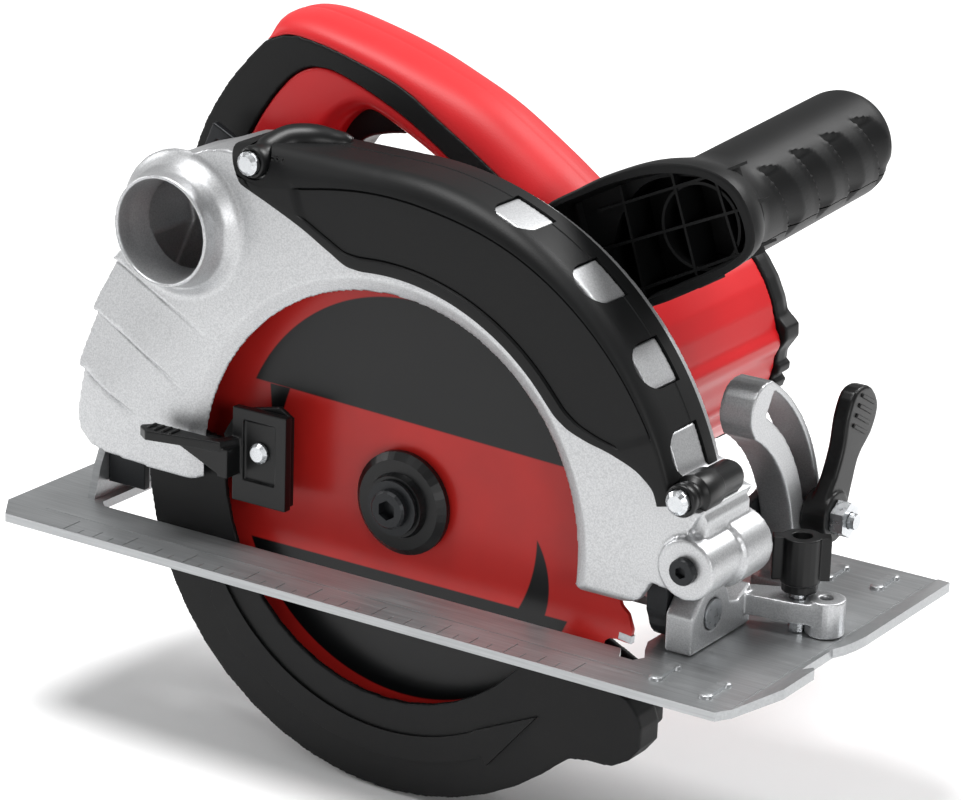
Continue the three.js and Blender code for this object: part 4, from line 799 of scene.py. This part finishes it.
def front_ring(y, inset=0.0):
    cx, cz = grip_axis(y)
    mix = ease(22, 57, y)
    ring = []
    for i in range(sides):
        angle = 2 * math.pi * i / sides
        radius = mouth_reach[i] * (1 - mix) + grip_radius(y, angle) * mix if y < 57 else grip_radius(y, angle)
        ring.append((cx + (radius - inset) * math.cos(angle), y, cz + (radius - inset) * math.sin(angle)))
    return ring


ends = [grip_end - d for d in (6.5, 4.5, 3, 1.8, 0.9, 0.3, 0.01)]
heights = [20, 20.6, 21.6] + [23 + 1.1 * i for i in range(int((grip_end - 8 - 23) / 1.1) + 1)] + ends
rings = [front_ring(20, 1.2), front_ring(20.3, 0.4)] + [front_ring(y) for y in heights[1:]]
handle = solid("front_handle", (loft, rings))
pocket_rings = [[(x, y - 1, z) for x, y, z in front_ring(20, 3.0)], front_ring(21, 3.2), front_ring(26, 4.0),
                front_ring(28.6, 4.6)]
carve(handle, (loft, pocket_rings))
carve(handle, (prism, "Y", smooth_line([(58, 126), (66, 141), (80, 147), (96, 147), (105, 139), (103, 127),
                                        (92, 118), (80, 111),
                                        (66, 106), (58, 114)], 5), 24, 40))
print("front handle", len(handle.data.polygons))

# %% [markdown]
# Thin ribs cross the floor of the open face. They keep a hollow moulding stiff without its weight. The
# handle is then cut free of the main handle and of the motor.
# %% Front handle ribs and cuts
def rib(x0, z0, x1, z1, thick=0.9, floor=41.0, top=25.5):
    length = math.hypot(x1 - x0, z1 - z0)
    nx, nz = -(z1 - z0) / length * thick / 2, (x1 - x0) / length * thick / 2
    return (prism, "Y", [(x0 + nx, z0 + nz), (x1 + nx, z1 + nz), (x1 - nx, z1 - nz), (x0 - nx, z0 - nz)],
            top, floor)


ribs = solid("ribs", rib(52, 131, 97, 152), rib(46, 115, 106, 142), rib(52, 99, 109, 129),
             rib(60, 141, 72, 104),
             rib(78, 150, 91, 113), rib(94, 150, 105, 124), rib(44, 132, 56, 95),
             (turned, "Y", (90, 133), [(13.4, 26), (14.4, 26), (14.4, 41), (13.4, 41)], 48, True))
combine(handle, ribs, "UNION")
carve(handle, (prism, "Y", arc(motor_axis, 45.3, 0, 350, 70), 10, 160),
      (prism, "Y", [(0, 60), (0, 160), (36, 140), (50, 126), (50, 92), (30, 60)], 30.2, 66))
seam = [(y, grip_axis(y)[1] - 8) for y in (36, 56, grip_end + 2)]
carve(handle, (prism, "X", [(y, z + 0.2) for y, z in seam] + [(y, z - 0.2) for y, z in reversed(seam)], 88,
               110))
ready(handle, "saw_body", black_nylon, "front_handle_upper", "front_handle_lower", edge=0.3, segments=1)

# %% [markdown]
# ## Main handle
# The handle is a loop with three skins: a crowned soft red grip on top, a black shell, and a red liner
# round the finger hole. The grip is a `loft` across its width, whose top line sinks towards each side.
# %% Soft grip
handle_y = (middle_of("grip_left").y + middle_of("grip_right").y) / 2
grip_half = 16.6


def even(line, count):
    """The same line with points at even steps."""
    lengths = [0.0]
    for a, b in zip(line, line[1:]):
        lengths.append(lengths[-1] + math.dist(a, b))
    out, k = [], 0
    for i in range(count):
        want = lengths[-1] * i / (count - 1)
        while k < len(line) - 2 and lengths[k + 1] < want:
            k += 1
        t = (want - lengths[k]) / max(1e-9, lengths[k + 1] - lengths[k])
        out.append(tuple(a + (b - a) * t for a, b in zip(line[k], line[k + 1])))
    return out


grip_top = even(smooth_line([(-83.5, 165.2), (-83.8, 169.5), (-81.5, 173), (-76, 174.6), (-65, 174.0),
                             (-41, 168.8), (-20, 162.3),
                             (0, 154.5), (17.5, 144.4), (35.5, 132.6), (44, 125.4), (42, 119)], 8, False), 90)
grip_line = even(smooth_line([(-83.2, 165), (-80, 166.4), (-72, 168.2), (-54.6, 165.4), (-30, 158),
                              (-14, 149), (2, 139.5),
                              (18, 128.8), (31, 118.8), (41.6, 118.4)], 8, False), 90)
rings = []
for k in range(-24, 25):
    across = math.sin(math.pi * k / 48) * grip_half
    sink = 0.93 * (1 - math.sqrt(max(0.0, 1 - (abs(across) / grip_half) ** 2.6)))
    seam = 0.35 if k == 0 else 0.0
    top_line = []
    for (x0, z0), (x1, z1) in zip(grip_top, grip_line):
        span = max(0.1, math.dist((x0, z0), (x1, z1)))
        pull = sink + seam / span if span > 1 else sink
        top_line.append((x0 + (x1 - x0) * pull, z0 + (z1 - z0) * pull))
    rings.append([(x, handle_y + across, z) for x, z in top_line + grip_line[::-1]])
grip = solid("soft_grip", (loft, rings))
ready(grip, "saw_body", red_rubber, "grip_left", "grip_right")

# %% [markdown]
# The shell and the liner are flat outlines with soft edges. The liner rolls inwards towards the finger
# hole, so its hole is cut with a flared tool, wide at the two faces and narrow in the middle.
# %% Handle shell and liner
rear_line = smooth_line([(-83.5, 165.2), (-92, 156.5), (-101, 145.5), (-109.5, 131), (-115.5, 114),
                         (-117.6, 97), (-116, 80),
                         (-106, 68.5), (-78, 62.5), (-40, 56)], 6, False)
shell_outline = grip_line[:-8:4] + [(28, 113), (20, 106), (6, 101), (-28, 70)] + rear_line[::-1][:-1]
liner_outline = smooth_line([(-100, 112), (-96.5, 120), (-91, 129), (-84.8, 139.5), (-78, 148.6),
                             (-70.5, 155.6), (-62, 158.6),
                             (-52, 157.2), (-36.7, 151.6), (-20.5, 143.6), (-2, 131.3), (12, 120.3),
                             (20.5, 112.5),
                             (14, 107), (4, 101), (-28, 89), (-70, 82), (-96, 96)], 5)
hole = smooth_line([(-61, 120), (-58, 134), (-52, 142.4), (-44, 146), (-35, 143.4), (-16, 134), (2, 122.3),
                    (13, 112),
                    (9, 105.4), (-24, 96), (-42, 92), (-57, 101)], 6)


def grown(line, amount):
    """A closed line moved outwards along its normals; the line turns clockwise here."""
    out = []
    for before, here, after in zip(line[-1:] + line[:-1], line, line[1:] + line[:1]):
        dx, dz = after[0] - before[0], after[1] - before[1]
        size = math.hypot(dx, dz)
        out.append((here[0] - dz / size * amount, here[1] + dx / size * amount))
    return out


def flare(half_width, depth, width):
    """Rings of the hole's tool: a quarter round at each face."""
    made = [(-half_width - 1, width + 0.6)]
    for a in [math.radians(15 * k) for k in range(7)]:
        made.append((-half_width + depth * (1 - math.cos(a)), width * (1 - math.sin(a))))
    return made + [(-y, w) for y, w in reversed(made)]


motor_room = (rod, "Y", motor_axis, 47.4, 0, 200, 72)
button_room = (rod, "Y", axis_of("lock_off_button"), 4.8, handle_y, 100)
joint_line = (block, (-130, 60), (handle_y - 0.13, handle_y + 0.13), (0, 180))
shell = solid("handle_shell", (prism, "Y", shell_outline, handle_y - 17, handle_y + 17))
carve(shell, (prism, "Y", grown(liner_outline, 0.2), 0, 100))
carve(shell, motor_room, button_room)
melt(shell, 0.7, 5, 0.5)
carve(shell, joint_line)
ready(shell, "saw_body", black_nylon, "handle_left", "handle_right")
liner = solid("handle_liner", (prism, "Y", liner_outline, handle_y - 16.5, handle_y + 16.5))
carve(liner, (loft, [[(x, handle_y + y, z) for x, z in grown(hole, w)] for y, w in flare(16.5, 7.5, 5.5)]))
carve(liner, motor_room, button_room)
melt(liner, 0.6, 3, 0.5)
carve(liner, joint_line)
ready(liner, "saw_body", red_nylon, "handle_liner_left", "handle_liner_right")

# %% [markdown]
# ## Raised arrow on the lower guard
# The moulded lower guard carries a broad raised arrow that shows which way it turns. It is a thin ring
# sector with a head, laid on the guard's near face; the edges are beveled so that they catch light.
# %% Guard arrow
guard_near = (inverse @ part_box("lower_guard")[0]).y
arrow = (arc(hub, 78.0, 212, 297, 40) + [(35.7, -40.6), (60.2, -29.2), (41.7, -51.3), (39.5, -48.7)]
         + arc(hub, 87.0, 297, 214, 40) + [polar(82.5, 211)])
raised = solid("guard_arrow", (prism, "Y", arrow, guard_near - 1.0, guard_near + 1.2))
ready(raised, "lower_guard_body", black_nylon, edge=0.8, segments=3)

# %% [markdown]
# ## Ribs on the two levers
# A thumb pulls the lower guard's lever and the bevel lever, so both pads carry four low ribs. Each rib
# is a flat bar laid across the pad and beveled until its top is nearly round.
# %% Lever ribs
pad_top, pad_near = 41.3, (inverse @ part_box("guard_lever")[0]).y + 2.2
bars = [(block, (x, x + 1.4), (pad_near + max(0, -86 - x) * 0.25, pad_near + 5.6),
         (pad_top - 0.8, pad_top + 0.7))
        for x in (-89.2, -86.0, -82.8, -79.6)]
ready(solid("guard_lever_ribs", *bars), "lower_guard_body", black_satin, edge=0.5, segments=2)

lever_face = 118.4
bolt = middle_of("bevel_nut")
lean = math.radians(62)


def on_lever(u, v):
    """A point u along the bevel lever from its bolt and v across it, as Y and Z."""
    return (bolt.y + u * math.cos(lean) - v * math.sin(lean),
            bolt.z + u * math.sin(lean) + v * math.cos(lean))


bars = [(prism, "X", [on_lever(u, -5.6), on_lever(u + 1.5, -5.6), on_lever(u + 1.5, 5.6), on_lever(u, 5.6)],
         lever_face - 0.8, lever_face + 0.8) for u in (29.5, 33.0, 36.5, 40.0)]
ready(solid("bevel_lever_ribs", *bars), "bevel_clamp", black_satin, edge=0.5, segments=2)

# %% [markdown]
# ## Screw sleeves
# Two soft sleeves hold the cover's screws. The front one is a stepped tube beside the pivot, and the
# rear one bends over the top of the cover. Each is a circle swept along a short path.
# %% Sleeves
def swept(shape, path, sides=28):
    """path: (x, y, z, radius) points; a circle of each radius stands square to the path."""
    line = smooth_line(path, 6, False)
    rings = []
    for i, (x, y, z, radius) in enumerate(line):
        a, b = Vector(line[max(0, i - 1)][:3]), Vector(line[min(len(line) - 1, i + 1)][:3])
        along = (b - a).normalized()
        one = along.cross(Vector((0, 0, 1))).normalized()
        two = one.cross(along)
        turns = [2 * math.pi * k / sides for k in range(sides)]
        rings.append([tuple(Vector((x, y, z)) + radius * (one * math.cos(t) + two * math.sin(t)))
                      for t in turns])
    return loft(shape, rings)


front_axis = axis_of("cover_screw_front")
rx, rz = axis_of("cover_screw_rear")
screw_face, screw_hole = (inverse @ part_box("cover_boss_front")[0]).y, 3.9
front_sleeve = solid("front_sleeve", (turned, "Y", front_axis, [
    (5.0, screw_face), (5.4, screw_face + 0.8), (5.4, screw_face + 3), (4.9, screw_face + 3.5),
    (4.9, screw_face + 7),
    (6.3, screw_face + 7.4), (6.5, screw_face + 8.2), (6.5, screw_face + 17), (6.1, screw_face + 17.8),
    (5.5, screw_face + 18.2), (5.5, screw_face + 30), (4.6, screw_face + 32), (2.4, screw_face + 33)], 40))
carve(front_sleeve, (rod, "Y", front_axis, screw_hole, -40, screw_face + 4))
ready(front_sleeve, "saw_body", black_satin, "cover_boss_front")
rear_face = (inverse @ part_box("cover_boss_rear")[0]).y
rear_sleeve = solid("rear_sleeve", (swept, [
    (rx, rear_face, rz, 5.0), (rx, rear_face + 2, rz, 5.5), (rx, rear_face + 7, rz + 0.3, 5.2),
    (rx + 0.5, rear_face + 12, rz + 1.8, 5.8), (rx + 4, rear_face + 17, rz + 4.4, 5.6),
    (rx + 10, rear_face + 21, rz + 5.2, 5.2), (rx + 15, rear_face + 24, rz + 4.9, 4.2),
    (rx + 19, rear_face + 26, rz + 4.6, 3.4), (rx + 21, rear_face + 27, rz + 4.4, 2.4)]))
carve(rear_sleeve, (rod, "Y", (rx, rz), screw_hole, -40, rear_face + 4))
ready(rear_sleeve, "saw_body", black_satin, "cover_boss_rear")

# %% [markdown]
# ## Floor, light and camera
# The saw is shown like a tool in a catalogue: on a plain pale floor, under one large lamp overhead and
# three weaker ones. A long lens from the front, a little above, keeps its lines nearly parallel.
# %% Floor, light and camera
low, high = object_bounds()
floor_mesh = bpy.data.meshes.new("floor")
floor_shape = bmesh.new()
bmesh.ops.create_grid(floor_shape, x_segments=1, y_segments=1, size=12)
floor_shape.to_mesh(floor_mesh)
floor_shape.free()
floor = bpy.data.objects.new("floor", floor_mesh)
floor.location.z = low.z - 0.001
bpy.context.scene.collection.objects.link(floor)
floor_finish, tree = new_material("pale_floor")
fleck = node(tree, "ShaderNodeTexNoise", {"Scale": 0.02}, Vector=position(tree))
pale = node(tree, "ShaderNodeMapRange", {"To Min": 0.9, "To Max": 0.93}, Value=fleck.outputs[0])
shade(tree, node(tree, "ShaderNodeBsdfPrincipled", {"Roughness": 0.9, "Specular IOR Level": 0.1},
                 Base_Color=pale.outputs[0]))
floor_mesh.materials.append(floor_finish)

world = bpy.data.worlds.new("studio")
bpy.context.scene.world = world
world.use_nodes = True
world.node_tree.nodes["Background"].inputs[0].default_value = (1, 1, 1, 1)
world.node_tree.nodes["Background"].inputs[1].default_value = 0.32

middle = (low + high) / 2
for name, place, size, power in (
    ("key", (-0.25, -0.35, 2.0), 0.9, 44), ("fill", (1.7, -1.3, 0.6), 0.6, 11),
    ("rim", (0.6, 1.3, 1.5), 0.9, 30),
    ("side", (-1.9, -0.7, 0.8), 0.7, 13),
):
    lamp = bpy.data.lights.new(name, "AREA")
    lamp.shape, lamp.size, lamp.energy = "DISK", size, power
    holder = bpy.data.objects.new(name, lamp)
    holder.location = place
    holder.rotation_euler = (Vector(place) - middle).to_track_quat("Z", "Y").to_euler()
    bpy.context.scene.collection.objects.link(holder)

lens = bpy.data.cameras.new("camera")
lens.lens, lens.sensor_width, lens.clip_end = 142.3, 36, 50  # millimetres, millimetres, metres
camera = bpy.data.objects.new("camera", lens)
azimuth, elevation, roll = math.radians(32.68), math.radians(18.72), math.radians(1.94)
back = Vector((math.sin(azimuth) * math.cos(elevation), -math.cos(azimuth) * math.cos(elevation),
               math.sin(elevation)))
right = Vector((math.cos(azimuth), math.sin(azimuth), 0))
up = back.cross(right)
side = right * math.cos(roll) + up * math.sin(roll)
top = up * math.cos(roll) - right * math.sin(roll)
target, distance = to_metres @ Vector((27.03, 0, 68.9)), 1.2274
camera.matrix_world = Matrix.Translation(target + back * distance) @ Matrix((side, top,
    back)).transposed().to_4x4()
bpy.context.scene.collection.objects.link(camera)
bpy.context.scene.camera = camera
bpy.context.scene.view_settings.view_transform = "Standard"
print("camera at", [round(v, 4) for v in camera.location])

# %% [markdown]
# ## Last update
# The last step brings the scene up to date.
# %% Last update
bpy.context.view_layer.update()
